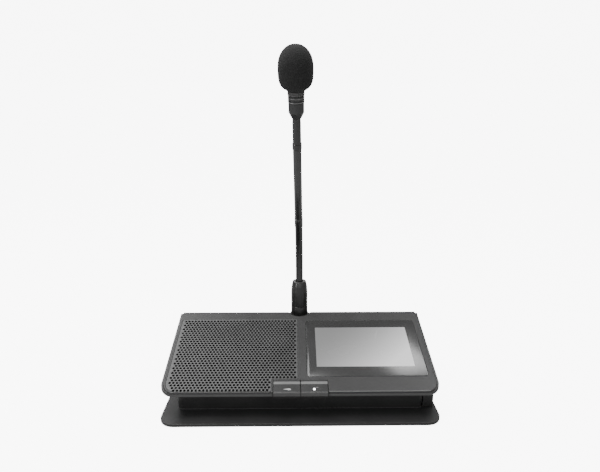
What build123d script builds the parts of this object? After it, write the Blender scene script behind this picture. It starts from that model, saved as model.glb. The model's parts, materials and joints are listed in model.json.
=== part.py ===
from build123d import *
import os
from math import atan2, cos, hypot, radians, sin, tan

os.makedirs("parts", exist_ok=True)

# Conference delegate unit: a wedge-shaped desk unit with a loudspeaker, a touch screen, two
# buttons on its front edge and a microphone on a bendable neck. Millimetres, X to the right,
# Y to the back, Z up. The origin is under the middle of the base plate, on the table.

# Shared clearances
overrun = 5.0
seat_gap = 0.15
hole_gap = 0.05

# Round pieces that stay hidden, and the foam, are drawn with this many flat sides
inner_sides = 24

# Base plate, its feet and the long screws that hold plate, housing and cover together
plate_depth = 150.0
plate_thick = 3.0
plate_corner = 14.0
foot_radius = 6.5
foot_height = 1.4
foot_inset = 17.0
screw_radius = 1.5
screw_head_radius = 2.9
screw_head_height = 1.6
screw_side_inset = 13.0
screw_front_inset = 5.5
screw_back_inset = 16.0
screw_grip = 7.0

# Top cover: front edge, ridge and back in side view, and its edges
cover_width = 260.0
cover_front = -65.5
front_height = 30.6
ridge_place = 37.4
ridge_height = 66.0
cover_back = 72.0
deck_fall = radians(25)
cover_wall = 2.6
rim_wall = 2.4
lip_drop = 4.4
front_corner = 13.0
back_corner = 5.0
step_side_in = 3.0
step_front_in = 0.4
step_drop = 1.3

# Lower housing under the cover
housing_inset = 13.0
housing_front = -51.0
housing_lean = 2.0
housing_back_inset = 4.0
housing_wall = 2.2
housing_floor = 2.2
housing_corner = 5.0
column_size = 8.0
column_height = 22.0

# Rear panel and network sockets
panel_thick = 2.2
jack_width = 16.0
jack_height = 13.6
jack_depth = 21.0
jack_mouth_width = 11.8
jack_mouth_height = 8.6
jack_mouth_depth = 12.6
jack_mouth_rise = 3.4
jack_first_x = 30.0
jack_step = 20.0
jack_count = 2

# Main board
board_side_gap = 18.8
board_depth = 60.0
board_thick = 1.6
board_back_gap = 2.0
board_post_height = 5.0
board_post_size = 6.0
board_post_inset = 6.0

# Loudspeaker behind the left half of the slope
grille_side_margin = 4.8
grille_glass_gap = 9.1
grille_top = 11.9
grille_front_margin = 0.8
grille_thick = 1.2
grille_corner = 2.5
grille_front_corner = 10.2
grille_edge = 1.6
cloth_thick = 0.3
hole_pitch = 11.6
hole_size = 7.2
speaker_down = 50.0
speaker_window = 29.0
speaker_size = 66.0
speaker_corner = 6.0
flange_thick = 1.6
basket_size = 50.0
basket_depth = 13.0
cone_radius = 27.5
cone_thick = 0.9
magnet_radius = 18.0
magnet_thick = 7.0

# Touch glass and display in the right half of the slope
glass_side_margin = 8.2
glass_front_margin = 18.02
glass_thick = 1.4
glass_corner = 3.0
screen_width = 95.04
screen_left_edge = 9.5
screen_right_edge = 10.76
screen_height = 53.86
screen_top_edge = 10.6
screen_bottom_edge = 12.04
screen_thick = 0.4
module_margin_left = 7.4
module_margin_right = 2.4
module_margin_top = 9.0
module_margin_bottom = 4.2
module_thick = 2.9
bracket_wall = 1.0

# Buttons on the front edge, with their switches
button_width = 25.0
button_split = 0.5
button_depth = 13.52
button_gap = 0.4
button_proud = 0.8
button_plate = 3.0
button_front_proud = 1.5
button_front_round = 1.6
skirt_drop = 6.4
skirt_thick = 2.4
skirt_bevel = 1.4
arm_thick = 2.0
arm_gap = 0.4
arm_back_depth = 21.82
arm_front_depth = 8.82
plunger_depth = 19.22
plunger_size = 3.2
plunger_length = 2.6
press_travel = 0.8
switch_size = 6.0
switch_gap = 1.2
switch_height = 3.5
switch_bore_depth = 2.7
switch_board_width = 46.0
switch_board_depth = 9.0
switch_board_thick = 1.6
ledge_thick = 2.4
light_x = 12.6
light_depth = 2.62
light_radius = 1.1
light_length = 2.2

# Headphone socket block at the right front
block_front = -49.5
block_back = -25.5
block_corner = 1.5
phone_y = -37.5
phone_z = 17.0
phone_bore = 1.8
phone_bore_length = 14.0
phone_radius = 3.9
phone_length = 19.0
phone_proud = 0.6

# Neck socket, lock ring and sleeve
neck_place = 45.0
neck_yaw = radians(2.8)
cup_radius = 14.1
cup_wall = 2.2
cup_sink = 1.5
cup_depth = 10.5
socket_radius = 10.0
socket_depth = 20.0
socket_bore_depth = 16.0
nose_radius = 7.4
plug_radius = 5.6
plug_reach = 15.0
ring_radius = 9.05
ring_height = 8.9
sleeve_height = 28.1
sleeve_bore_depth = 16.0
sleeve_shoulder = 6.5
sleeve_top_radius = 7.15

# Bendable neck: round sections whose joints are a square peg in a square cup
flex_radius = 3.75
lower_flex_length = 66.9
lower_joints = 4
lower_bend = radians(25.3)
upper_flex_length = 20.8
upper_joints = 2
upper_ease = radians(4.0)
joint_tilt = radians(30)
cup_size = 4.5
cup_lip = 0.8
peg_size = 2.9
peg_rise = 0.8
joint_gap = 0.2
lower_collar_radius = 4.1
lower_collar_length = 11.0
tube_radius = 3.9
tube_length = 79.0
upper_collar_radius = 4.2
upper_collar_length = 6.0

# Microphone head, measured along it from the end of the upper bendable section
taper_flats = 8
taper_start = 3.2
taper_start_radius = 4.0
head_radius = 6.7
taper_end = 9.2
cup_end_place = 18.0
head_ring_radius = 6.95
collar_end = 24.6
light_ring_end = 28.4
capsule_radius = 5.6
capsule_end = 52.0
foam_gap = 0.3
foam_length = 37.5
foam_radius = 15.3
foam_bottom_radius = 8.8
foam_belly_share = 0.48
foam_low_power_share = 3.4
foam_high_power_share = 2.15
foam_steps = 4
foam_last_turn = radians(81)

# Heights and places that follow
# The base plate is as wide as the cover above it
plate_width = cover_width
plate_top = foot_height + plate_thick
slope = atan2(ridge_height - front_height, ridge_place - cover_front)
slope_length = hypot(ridge_height - front_height, ridge_place - cover_front)
slope_plane = Plane(
    origin=(0, ridge_place, ridge_height),
    x_dir=(1, 0, 0),
    z_dir=(0, -sin(slope), cos(slope)),
)
floor_top = plate_top + housing_floor
housing_half = cover_width / 2 - housing_inset
# The block fills the space from the housing's wall to the cover's rim
block_width = housing_inset - rim_wall - seat_gap
housing_back = cover_back - housing_back_inset
raised_front = (ridge_place - cover_front - step_front_in) / cos(slope)
board_width = 2 * (housing_half - housing_wall - board_side_gap)
button_span = 2 * button_width + button_split
button_top = slope_length - button_depth
arm_back = slope_length - arm_back_depth
arm_front = slope_length - arm_front_depth
plunger_down = slope_length - plunger_depth
light_down = slope_length - light_depth
glass_bottom = slope_length - glass_front_margin
screen_top = glass_bottom - screen_bottom_edge - screen_height
glass_top = screen_top - screen_top_edge
glass_right = cover_width / 2 - glass_side_margin
screen_left = glass_right - screen_right_edge - screen_width
glass_left = screen_left - screen_left_edge
grille_left = -cover_width / 2 + grille_side_margin
grille_right = glass_left - grille_glass_gap
module_left = screen_left - module_margin_left
module_width = module_margin_left + screen_width + module_margin_right
module_top = screen_top - module_margin_top
module_height = module_margin_top + screen_height + module_margin_bottom
module_right = module_left + module_width
module_bottom = module_top + module_height
module_low = -glass_thick - module_thick
glass_width = glass_right - glass_left
glass_depth = glass_bottom - glass_top
glass_place = ((glass_left + glass_right) / 2, -(glass_top + glass_bottom) / 2)
# The loudspeaker hangs midway between the housing's left wall and the display's bracket
speaker_left_limit = -housing_half + housing_wall
speaker_right_limit = module_left - seat_gap - bracket_wall
speaker_x = (speaker_left_limit + speaker_right_limit) / 2
screw_x = housing_half - screw_side_inset
screw_front_y = housing_front + screw_front_inset
screw_back_y = housing_back - screw_back_inset
screw_places = [(x, y) for x in (-screw_x, screw_x) for y in (screw_front_y, screw_back_y)]
arm_top = -cover_wall - arm_gap
arm_bottom = arm_top - arm_thick
plunger_bottom = arm_bottom - plunger_length
switch_top = arm_bottom - switch_gap
switch_bottom = switch_top - switch_height
switch_board_bottom = switch_bottom - switch_board_thick


def slope_z(y, drop):
    """Height of the slope at a place Y, sunk by drop square to its face."""
    return ridge_height - (ridge_place - y) * tan(slope) - drop / cos(slope)


def deck_z(y, drop):
    """Height of the deck behind the ridge at a place Y, sunk by drop square to its face."""
    return ridge_height - (y - ridge_place) * tan(deck_fall) - drop / cos(deck_fall)


def under_ridge(drop):
    """The point (Y, Z) where the slope and the deck meet when both have sunk by drop."""
    shift = drop * (1 / cos(slope) - 1 / cos(deck_fall)) / (tan(slope) + tan(deck_fall))
    y = ridge_place + shift
    return y, deck_z(y, drop)


def on_slope(down, out):
    """The point (Y, Z) a distance down the slope from the ridge and out from its face."""
    return (
        ridge_place - down * cos(slope) - out * sin(slope),
        ridge_height - down * sin(slope) + out * cos(slope),
    )


def down_at(y, out):
    """How far down the slope a place Y lies, at a distance out from the face."""
    return (ridge_place - y - out * sin(slope)) / cos(slope)


def bent_slab(top_drop, bottom_drop, side_inset, end_inset):
    """The cover's bent shape between two depths under its top, inset from its outline."""
    with BuildPart() as slab:
        with BuildSketch(Plane.YZ):
            with BuildLine():
                Polyline(
                    (cover_front, slope_z(cover_front, top_drop)),
                    under_ridge(top_drop),
                    (cover_back, deck_z(cover_back, top_drop)),
                    (cover_back, deck_z(cover_back, bottom_drop)),
                    under_ridge(bottom_drop),
                    (cover_front, slope_z(cover_front, bottom_drop)),
                    close=True,
                )
            make_face()
        extrude(amount=cover_width / 2, both=True)
        with BuildSketch(Plane.XY) as plan:
            with Locations((0, (cover_front + cover_back) / 2)):
                Rectangle(
                    cover_width - 2 * side_inset, cover_back - cover_front - 2 * end_inset
                )
            fillet(plan.vertices().group_by(Axis.Y)[0], radius=front_corner - side_inset)
            fillet(plan.vertices().group_by(Axis.Y)[-1], radius=back_corner - side_inset)
        extrude(amount=ridge_height + overrun, mode=Mode.INTERSECT)
    return slab.part


def grille_outline(margin):
    """The grille's outline on the slope, moved in by margin, with its notch for the buttons."""
    front = raised_front - grille_front_margin
    notch = button_span / 2 + button_gap + grille_edge
    notch_top = button_top - button_gap - grille_edge
    with BuildSketch(slope_plane) as outline:
        with BuildLine():
            FilletPolyline(
                (grille_left + margin, -grille_top - margin),
                (grille_right - margin, -grille_top - margin),
                (grille_right - margin, -front + margin),
                (grille_left + margin, -front + margin),
                radius=[grille_corner, grille_corner, grille_corner, grille_front_corner - margin],
                close=True,
            )
        make_face()
        with Locations((0, -notch_top + margin)):
            Rectangle(
                2 * (notch + margin),
                front - notch_top + overrun,
                align=(Align.CENTER, Align.MAX),
                mode=Mode.SUBTRACT,
            )
    return outline.sketch


def slope_box(left, right, top, bottom, high, low):
    """A square-cornered block sunk in the slope, from high to low out of its face."""
    with BuildPart() as block:
        with BuildSketch(slope_plane.offset(low)):
            with Locations(((left + right) / 2, -(top + bottom) / 2)):
                Rectangle(right - left, bottom - top)
        extrude(amount=high - low)
    return block.part


# Base plate on four rubber feet
with BuildPart() as base_plate:
    with BuildSketch(Plane.XY.offset(foot_height)):
        RectangleRounded(plate_width, plate_depth, plate_corner)
        with Locations(*screw_places):
            RegularPolygon(
                screw_head_radius + hole_gap, side_count=inner_sides, mode=Mode.SUBTRACT
            )
    extrude(amount=plate_thick)
base_plate.part.label = "base_plate"
export_step(base_plate.part, "parts/base_plate.step")

with BuildPart() as rubber_feet:
    with BuildSketch():
        with GridLocations(plate_width - 2 * foot_inset, plate_depth - 2 * foot_inset, 2, 2):
            Circle(foot_radius)
    extrude(amount=foot_height)
rubber_feet.part.label = "rubber_feet"
export_step(rubber_feet.part, "parts/rubber_feet.step")

# Each long screw's head sits in the plate against the housing's floor
post_bottom = plate_top + column_height + seat_gap
with BuildPart() as case_screws:
    with BuildSketch(Plane.XY.offset(plate_top)):
        with Locations(*screw_places):
            RegularPolygon(screw_head_radius, side_count=inner_sides)
    extrude(amount=-screw_head_height)
    with BuildSketch(Plane.XY.offset(plate_top)):
        with Locations(*screw_places):
            RegularPolygon(screw_radius, side_count=6)
    extrude(amount=column_height + screw_grip)
case_screws.part.label = "case_screws"
export_step(case_screws.part, "parts/case_screws.step")

# Lower housing: a tray that is open at the top and the back, with its bosses and ledges
housing_front_top = housing_front - housing_lean
with BuildPart() as lower_housing:
    with BuildSketch(Plane.YZ):
        with BuildLine():
            Polyline(
                (housing_front, plate_top),
                (housing_front_top, slope_z(housing_front_top, cover_wall)),
                under_ridge(cover_wall),
                (housing_back, deck_z(housing_back, cover_wall)),
                (housing_back, plate_top),
                close=True,
            )
        make_face()
    extrude(amount=housing_half, both=True)
    for side in (-housing_half, housing_half):
        corner = (side, (housing_front + housing_front_top) / 2, front_height / 2)
        fillet(lower_housing.edges().sort_by_distance(corner)[0], radius=housing_corner)
    with BuildSketch(Plane.YZ):
        with BuildLine():
            Polyline(
                (housing_front + housing_wall, floor_top),
                (housing_front_top + housing_wall, slope_z(housing_front_top, 0)),
                (housing_front_top + housing_wall, ridge_height + overrun),
                (housing_back + overrun, ridge_height + overrun),
                (housing_back + overrun, floor_top),
                close=True,
            )
        make_face()
    extrude(amount=housing_half - housing_wall, both=True, mode=Mode.SUBTRACT)
    # Columns that the long screws run up in, and posts that carry the main board
    board_back = housing_back - panel_thick - board_back_gap
    board_middle = board_back - board_depth / 2
    board_post_span_x = board_width - 2 * board_post_inset
    board_post_span_y = board_depth - 2 * board_post_inset
    with BuildSketch(Plane.XY.offset(plate_top)):
        with Locations(*screw_places):
            Rectangle(column_size, column_size)
    extrude(amount=column_height)
    with BuildSketch(Plane.XY.offset(plate_top)):
        with Locations((0, board_middle)):
            with GridLocations(board_post_span_x, board_post_span_y, 2, 2):
                Rectangle(board_post_size, board_post_size)
    extrude(amount=housing_floor + board_post_height)
    with BuildSketch(Plane.XY.offset(plate_top)):
        with Locations(*screw_places):
            RegularPolygon(screw_radius + hole_gap, side_count=6)
    extrude(amount=column_height, mode=Mode.SUBTRACT)
    # Ledges behind the front wall that carry the switch board, square to the slope
    ledge_top = on_slope(plunger_down - switch_board_depth / 2, switch_board_bottom)
    ledge_front = on_slope(plunger_down + switch_board_depth / 2, switch_board_bottom)
    for place in (-switch_board_width / 2 + ledge_thick, switch_board_width / 2 - ledge_thick):
        with BuildSketch(Plane.YZ.offset(place)):
            with BuildLine():
                Polyline(
                    (ledge_top[0], floor_top),
                    ledge_top,
                    ledge_front,
                    (housing_front_top + housing_wall, ledge_front[1]),
                    (housing_front + housing_wall, floor_top),
                    close=True,
                )
            make_face()
        extrude(amount=ledge_thick / 2, both=True)
    # Notch in the front wall that the buttons' arms pass through
    notch_half = button_span / 2 + button_gap
    with BuildSketch(slope_plane.offset(arm_bottom - press_travel - arm_gap)):
        with Locations((0, -(arm_back + arm_front) / 2 - overrun)):
            Rectangle(2 * notch_half, arm_front - arm_back)
    extrude(amount=overrun + arm_thick, mode=Mode.SUBTRACT)
    # Hole in the right wall for the headphone socket
    with BuildSketch(Plane.YZ.offset(housing_half - 2 * housing_wall)):
        with Locations((phone_y, phone_z)):
            Circle(phone_radius + hole_gap)
    extrude(amount=3 * housing_wall, mode=Mode.SUBTRACT)
lower_housing.part.label = "lower_housing"
export_step(lower_housing.part, "parts/lower_housing.step")

# Main board on its posts
board_bottom = floor_top + board_post_height
board_top = board_bottom + board_thick
with BuildPart() as main_board:
    with BuildSketch(Plane.XY.offset(board_bottom)):
        with Locations((0, board_middle)):
            Rectangle(board_width, board_depth)
    extrude(amount=board_thick)
main_board.part.label = "main_board"
export_step(main_board.part, "parts/main_board.step")

# Parts on the main board: (X share, Y share, width, depth, height) of its shielded chips
chip_shares = ((0.5, 0.42), (-0.35, 0.2), (-0.62, -0.3), (0.75, -0.3))
chip_sizes = ((27.0, 27.0, 3.0), (14.0, 14.0, 1.4), (20.0, 7.0, 5.0), (18.0, 6.0, 5.5))
with BuildPart() as board_parts:
    for share, size in zip(chip_shares, chip_sizes):
        chip_x = share[0] * board_width / 2
        chip_y = board_middle - share[1] * board_depth / 2
        with Locations((chip_x, chip_y, board_top)):
            Box(*size, align=(Align.CENTER, Align.CENTER, Align.MIN))
board_parts.part.label = "board_parts"
export_step(board_parts.part, "parts/board_parts.step")

# Rear panel between the housing's walls, with a cut-out for each network socket
jack_places = [jack_first_x + jack_step * i for i in range(jack_count)]
with BuildPart() as rear_panel:
    panel_top = deck_z(housing_back, cover_wall) - seat_gap
    with BuildSketch(Plane.XZ.offset(-housing_back)):
        with Locations((0, (floor_top + panel_top) / 2)):
            Rectangle(2 * (housing_half - housing_wall - seat_gap), panel_top - floor_top)
        with Locations(*[(x, board_top + jack_height / 2) for x in jack_places]):
            Rectangle(
                jack_width + 2 * seat_gap, jack_height + 2 * seat_gap, mode=Mode.SUBTRACT
            )
    extrude(amount=panel_thick)
rear_panel.part.label = "rear_panel"
export_step(rear_panel.part, "parts/rear_panel.step")

with BuildPart() as network_jacks:
    with BuildSketch(Plane.XZ.offset(-housing_back)):
        with Locations(*[(x, board_top + jack_height / 2) for x in jack_places]):
            Rectangle(jack_width, jack_height)
    extrude(amount=jack_depth)
    with BuildSketch(Plane.XZ.offset(-housing_back)):
        mouth_z = board_top + jack_mouth_rise + jack_mouth_height / 2
        with Locations(*[(x, mouth_z) for x in jack_places]):
            Rectangle(jack_mouth_width, jack_mouth_height)
    extrude(amount=jack_mouth_depth, mode=Mode.SUBTRACT)
network_jacks.part.label = "network_jacks"
export_step(network_jacks.part, "parts/network_jacks.step")

# Headphone socket in its block beside the right wall
block_top = (slope_z(block_front, cover_wall), slope_z(block_back, cover_wall))
with BuildPart() as jack_block:
    with BuildSketch(Plane.YZ.offset(housing_half)):
        with BuildLine():
            Polyline(
                (block_front, plate_top),
                (block_front, block_top[0]),
                (block_back, block_top[1]),
                (block_back, plate_top),
                close=True,
            )
        make_face()
    extrude(amount=block_width)
    block_edge = (housing_half + block_width, block_front, front_height / 2)
    fillet(jack_block.edges().sort_by_distance(block_edge)[0], radius=block_corner)
    with BuildSketch(Plane.YZ.offset(housing_half)):
        with Locations((phone_y, phone_z)):
            Circle(phone_radius + hole_gap)
    extrude(amount=block_width, mode=Mode.SUBTRACT)
jack_block.part.label = "jack_block"
export_step(jack_block.part, "parts/jack_block.step")

phone_mouth = housing_half + block_width + phone_proud
with BuildPart() as headphone_jack:
    with BuildSketch(Plane.YZ.offset(phone_mouth)):
        with Locations((phone_y, phone_z)):
            Circle(phone_radius)
    extrude(amount=-phone_length)
    with BuildSketch(Plane.YZ.offset(phone_mouth)):
        with Locations((phone_y, phone_z)):
            Circle(phone_bore)
    extrude(amount=-phone_bore_length, mode=Mode.SUBTRACT)
headphone_jack.part.label = "headphone_jack"
export_step(headphone_jack.part, "parts/headphone_jack.step")

# Top cover: a raised top inside a lower rim, hollow below, with a cup for the neck's socket
neck_seat = deck_z(neck_place, 0)
cup_bottom = neck_seat - cup_depth
with BuildPart() as cup_boss:
    with BuildSketch(Plane.XY.offset(cup_bottom)):
        with Locations((0, neck_place)):
            RegularPolygon(cup_radius + cup_wall, side_count=inner_sides)
    extrude(amount=ridge_height - cup_bottom)
    add(bent_slab(0, 2 * cup_depth, step_side_in, step_front_in), mode=Mode.INTERSECT)

with BuildPart() as top_cover:
    add(bent_slab(step_drop, lip_drop, 0, 0))
    add(bent_slab(0, lip_drop, step_side_in, step_front_in))
    add(bent_slab(cover_wall, lip_drop + overrun, rim_wall, rim_wall), mode=Mode.SUBTRACT)
    add(cup_boss.part)
    # Posts that the long screws hold, as wide as the housing's columns
    for place in screw_places:
        top = slope_z(place[1] - column_size / 2, cover_wall)
        if place[1] > ridge_place:
            top = deck_z(place[1] + column_size / 2, cover_wall)
        with BuildSketch(Plane.XY.offset(post_bottom)):
            with Locations(place):
                Rectangle(column_size, column_size)
                RegularPolygon(screw_radius + hole_gap, side_count=6, mode=Mode.SUBTRACT)
        extrude(amount=top - post_bottom + cover_wall / 2)
    # Recess around the lock ring and the hole that the socket comes up through
    with BuildSketch(Plane.XY.offset(neck_seat - cup_sink)):
        with Locations((0, neck_place)):
            Circle(cup_radius)
    extrude(amount=ridge_height, mode=Mode.SUBTRACT)
    with BuildSketch(Plane.XY.offset(cup_bottom)):
        with Locations((0, neck_place)):
            Circle(socket_radius + hole_gap)
    extrude(amount=cup_depth, mode=Mode.SUBTRACT)
    # Recess of the grille, with the window that the loudspeaker plays through
    extrude(
        grille_outline(-seat_gap), amount=-(grille_thick + cloth_thick), mode=Mode.SUBTRACT
    )
    with BuildSketch(slope_plane):
        with Locations((speaker_x, -speaker_down)):
            RegularPolygon(speaker_window, side_count=inner_sides)
    extrude(amount=-(cover_wall + overrun), mode=Mode.SUBTRACT)
    # Recess of the glass, with the window that the display sits in
    with BuildSketch(slope_plane):
        with Locations(glass_place):
            RectangleRounded(glass_width + 2 * seat_gap, glass_depth + 2 * seat_gap, glass_corner)
    extrude(amount=-glass_thick, mode=Mode.SUBTRACT)
    add(
        slope_box(
            module_left - seat_gap,
            module_right + seat_gap,
            module_top - seat_gap,
            module_bottom + seat_gap,
            0,
            -cover_wall - overrun,
        ),
        mode=Mode.SUBTRACT,
    )
    # Gap in the front edge that the buttons fill
    with BuildSketch(slope_plane.offset(overrun)):
        with Locations((0, -button_top + button_gap)):
            Rectangle(
                button_span + 2 * button_gap,
                slope_length - button_top + button_gap + overrun,
                align=(Align.CENTER, Align.MAX),
            )
    extrude(amount=-(2 * overrun + lip_drop), mode=Mode.SUBTRACT)
top_cover.part.label = "top_cover"
export_step(top_cover.part, "parts/top_cover.step")

# Speaker grille: six-sided holes in staggered rows, with dust cloth behind them
row_step = hole_pitch * cos(radians(30))
grille_front = raised_front - grille_front_margin
field_width = grille_right - grille_left - 2 * grille_edge - hole_size
field_depth = grille_front - grille_top - 2 * grille_edge - hole_size
row_count = int(field_depth / row_step) + 1
column_count = int(field_width / hole_pitch) + 1
first_row = (grille_top + grille_front + (row_count - 1) * row_step) / 2
first_column = (grille_left + grille_right - (column_count - 1) * hole_pitch) / 2
notch_left = -(button_span / 2 + button_gap + 2 * grille_edge) - hole_size / 2
notch_down = button_top - button_gap - 2 * grille_edge - hole_size / 2
corner_x = grille_left + grille_front_corner
corner_down = grille_front - grille_front_corner
corner_reach = grille_front_corner - grille_edge - hole_size / 2
hole_places = []
for row in range(row_count):
    down = first_row - row * row_step
    for column in range(column_count - row % 2):
        x = first_column + (column + row % 2 / 2) * hole_pitch
        in_notch = x > notch_left and down > notch_down
        past_corner = (
            x < corner_x
            and down > corner_down
            and hypot(x - corner_x, down - corner_down) > corner_reach
        )
        if not in_notch and not past_corner:
            hole_places.append((x, -down))
with BuildPart() as speaker_grille:
    extrude(grille_outline(0), amount=-grille_thick)
    with BuildSketch(slope_plane):
        with Locations(*hole_places):
            RegularPolygon(hole_size / 2, side_count=6, rotation=30)
    extrude(amount=-grille_thick, mode=Mode.SUBTRACT)
print("grille holes", len(hole_places))
speaker_grille.part.label = "speaker_grille"
export_step(speaker_grille.part, "parts/speaker_grille.step")

with BuildPart() as grille_cloth:
    extrude(grille_outline(seat_gap), amount=-(grille_thick + cloth_thick))
    extrude(grille_outline(0), amount=-grille_thick, mode=Mode.SUBTRACT)
grille_cloth.part.label = "grille_cloth"
export_step(grille_cloth.part, "parts/grille_cloth.step")

# Loudspeaker with a square flange, hung under the cover behind the window
speaker_plane = slope_plane.offset(-cover_wall)
with BuildPart() as speaker_frame:
    with BuildSketch(speaker_plane):
        with Locations((speaker_x, -speaker_down)):
            RectangleRounded(speaker_size, speaker_size, speaker_corner)
    extrude(amount=-flange_thick)
    with BuildSketch(speaker_plane.offset(-flange_thick)):
        with Locations((speaker_x, -speaker_down)):
            Rectangle(basket_size, basket_size)
    extrude(amount=-basket_depth)
speaker_frame.part.label = "speaker_frame"
export_step(speaker_frame.part, "parts/speaker_frame.step")

with BuildPart() as speaker_cone:
    with BuildSketch(speaker_plane):
        with Locations((speaker_x, -speaker_down)):
            RegularPolygon(cone_radius, side_count=inner_sides)
    extrude(amount=cone_thick)
speaker_cone.part.label = "speaker_cone"
export_step(speaker_cone.part, "parts/speaker_cone.step")

with BuildPart() as speaker_magnet:
    with BuildSketch(speaker_plane.offset(-flange_thick - basket_depth)):
        with Locations((speaker_x, -speaker_down)):
            RegularPolygon(magnet_radius, side_count=inner_sides)
    extrude(amount=-magnet_thick)
speaker_magnet.part.label = "speaker_magnet"
export_step(speaker_magnet.part, "parts/speaker_magnet.step")

# Touch glass, the lit screen under it, the display behind them and the bracket that holds it
with BuildPart() as touch_glass:
    with BuildSketch(slope_plane):
        with Locations(glass_place):
            RectangleRounded(glass_width, glass_depth, glass_corner - seat_gap)
    extrude(amount=-glass_thick)
touch_glass.part.label = "touch_glass"
export_step(touch_glass.part, "parts/touch_glass.step")

screen_low = -glass_thick - screen_thick
with BuildPart() as display_screen:
    with BuildSketch(slope_plane.offset(screen_low)):
        with Locations((screen_left + screen_width / 2, -screen_top - screen_height / 2)):
            Rectangle(screen_width, screen_height)
    extrude(amount=screen_thick)
display_screen.part.label = "display_screen"
export_step(display_screen.part, "parts/display_screen.step")

with BuildPart() as display_module:
    add(
        slope_box(
            module_left, module_right, module_top, module_bottom, -glass_thick, module_low
        )
    )
    with BuildSketch(slope_plane.offset(-glass_thick)):
        with Locations((screen_left + screen_width / 2, -screen_top - screen_height / 2)):
            Rectangle(screen_width, screen_height)
    extrude(amount=-screen_thick, mode=Mode.SUBTRACT)
display_module.part.label = "display_module"
export_step(display_module.part, "parts/display_module.step")

bracket_reach = bracket_wall + seat_gap
with BuildPart() as display_bracket:
    add(
        slope_box(
            module_left - bracket_reach,
            module_right + bracket_reach,
            module_top - bracket_reach,
            module_bottom + bracket_reach,
            -cover_wall,
            module_low - bracket_wall,
        )
    )
    add(
        slope_box(
            module_left - seat_gap,
            module_right + seat_gap,
            module_top - seat_gap,
            module_bottom + seat_gap,
            -cover_wall,
            module_low,
        ),
        mode=Mode.SUBTRACT,
    )
display_bracket.part.label = "display_bracket"
export_step(display_bracket.part, "parts/display_bracket.step")

# Buttons: a cap over the front edge with an arm that reaches back under the cover
button_front = cover_front - button_front_proud
skirt_bottom = front_height - skirt_drop
cap_corner_down = down_at(button_front, button_proud)
cap_inner_down = down_at(button_front + skirt_thick, button_proud - button_plate)


def button_part(left):
    """One button, from its left side, with its cap, front skirt and arm in one piece."""
    with BuildPart() as button:
        with BuildSketch(Plane.YZ.offset(left)):
            with BuildLine():
                Polyline(
                    on_slope(button_top, button_proud),
                    on_slope(cap_corner_down, button_proud),
                    (button_front, skirt_bottom + skirt_bevel),
                    (button_front + skirt_bevel, skirt_bottom),
                    (button_front + skirt_thick, skirt_bottom),
                    on_slope(cap_inner_down, button_proud - button_plate),
                    on_slope(arm_front, button_proud - button_plate),
                    on_slope(arm_front, arm_bottom),
                    on_slope(arm_back, arm_bottom),
                    on_slope(arm_back, arm_top),
                    on_slope(button_top, arm_top),
                    close=True,
                )
            make_face()
        extrude(amount=button_width)
        top_edge = on_slope(cap_corner_down, button_proud)
        middle = (left + button_width / 2, *top_edge)
        fillet(button.edges().sort_by_distance(middle)[0], radius=button_front_round)
    return button.part


def plunger_part(x):
    """The stem of a button's switch, under its arm."""
    with BuildPart() as plunger:
        with BuildSketch(slope_plane.offset(arm_bottom)):
            with Locations((x, -plunger_down)):
                Rectangle(plunger_size, plunger_size)
        extrude(amount=-plunger_length)
    return plunger.part


mute_left = -button_split / 2 - button_width
speak_left = button_split / 2
mute_middle = mute_left + button_width / 2
speak_middle = speak_left + button_width / 2
with BuildPart() as mute_button:
    add(button_part(mute_left))
mute_button.part.label = "mute_button"
export_step(mute_button.part, "parts/mute_button.step")

with BuildPart() as mute_plunger:
    add(plunger_part(mute_middle))
mute_plunger.part.label = "mute_plunger"
export_step(mute_plunger.part, "parts/mute_plunger.step")

with BuildPart() as speak_button:
    add(button_part(speak_left))
    with BuildSketch(slope_plane.offset(button_proud)):
        with Locations((light_x, -light_down)):
            RegularPolygon(light_radius + hole_gap, side_count=8)
    extrude(amount=-light_length, mode=Mode.SUBTRACT)
speak_button.part.label = "speak_button"
export_step(speak_button.part, "parts/speak_button.step")

with BuildPart() as speak_plunger:
    add(plunger_part(speak_middle))
speak_plunger.part.label = "speak_plunger"
export_step(speak_plunger.part, "parts/speak_plunger.step")

with BuildPart() as speak_light:
    with BuildSketch(slope_plane.offset(button_proud)):
        with Locations((light_x, -light_down)):
            RegularPolygon(light_radius, side_count=8)
    extrude(amount=-light_length)
speak_light.part.label = "speak_light"
export_step(speak_light.part, "parts/speak_light.step")

with BuildPart() as tact_switches:
    with BuildSketch(slope_plane.offset(switch_bottom)):
        with Locations((mute_middle, -plunger_down), (speak_middle, -plunger_down)):
            Rectangle(switch_size, switch_size)
    extrude(amount=switch_height)
    with BuildSketch(slope_plane.offset(switch_top)):
        with Locations((mute_middle, -plunger_down), (speak_middle, -plunger_down)):
            Rectangle(plunger_size + 2 * hole_gap, plunger_size + 2 * hole_gap)
    extrude(amount=-switch_bore_depth, mode=Mode.SUBTRACT)
tact_switches.part.label = "tact_switches"
export_step(tact_switches.part, "parts/tact_switches.step")

with BuildPart() as button_board:
    with BuildSketch(slope_plane.offset(switch_board_bottom)):
        with Locations((0, -plunger_down)):
            Rectangle(switch_board_width, switch_board_depth)
    extrude(amount=switch_board_thick)
button_board.part.label = "button_board"
export_step(button_board.part, "parts/button_board.step")


def neck_plane(run, height, lean):
    """A plane across the neck, run ahead of the sleeve's axis and leaning forward by lean."""
    ahead = Vector(-sin(neck_yaw), -cos(neck_yaw), 0)
    return Plane(
        origin=Vector(0, neck_place, height) + ahead * run,
        x_dir=(cos(neck_yaw), -sin(neck_yaw), 0),
        z_dir=ahead * sin(lean) + Vector(0, 0, cos(lean)),
    )


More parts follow.
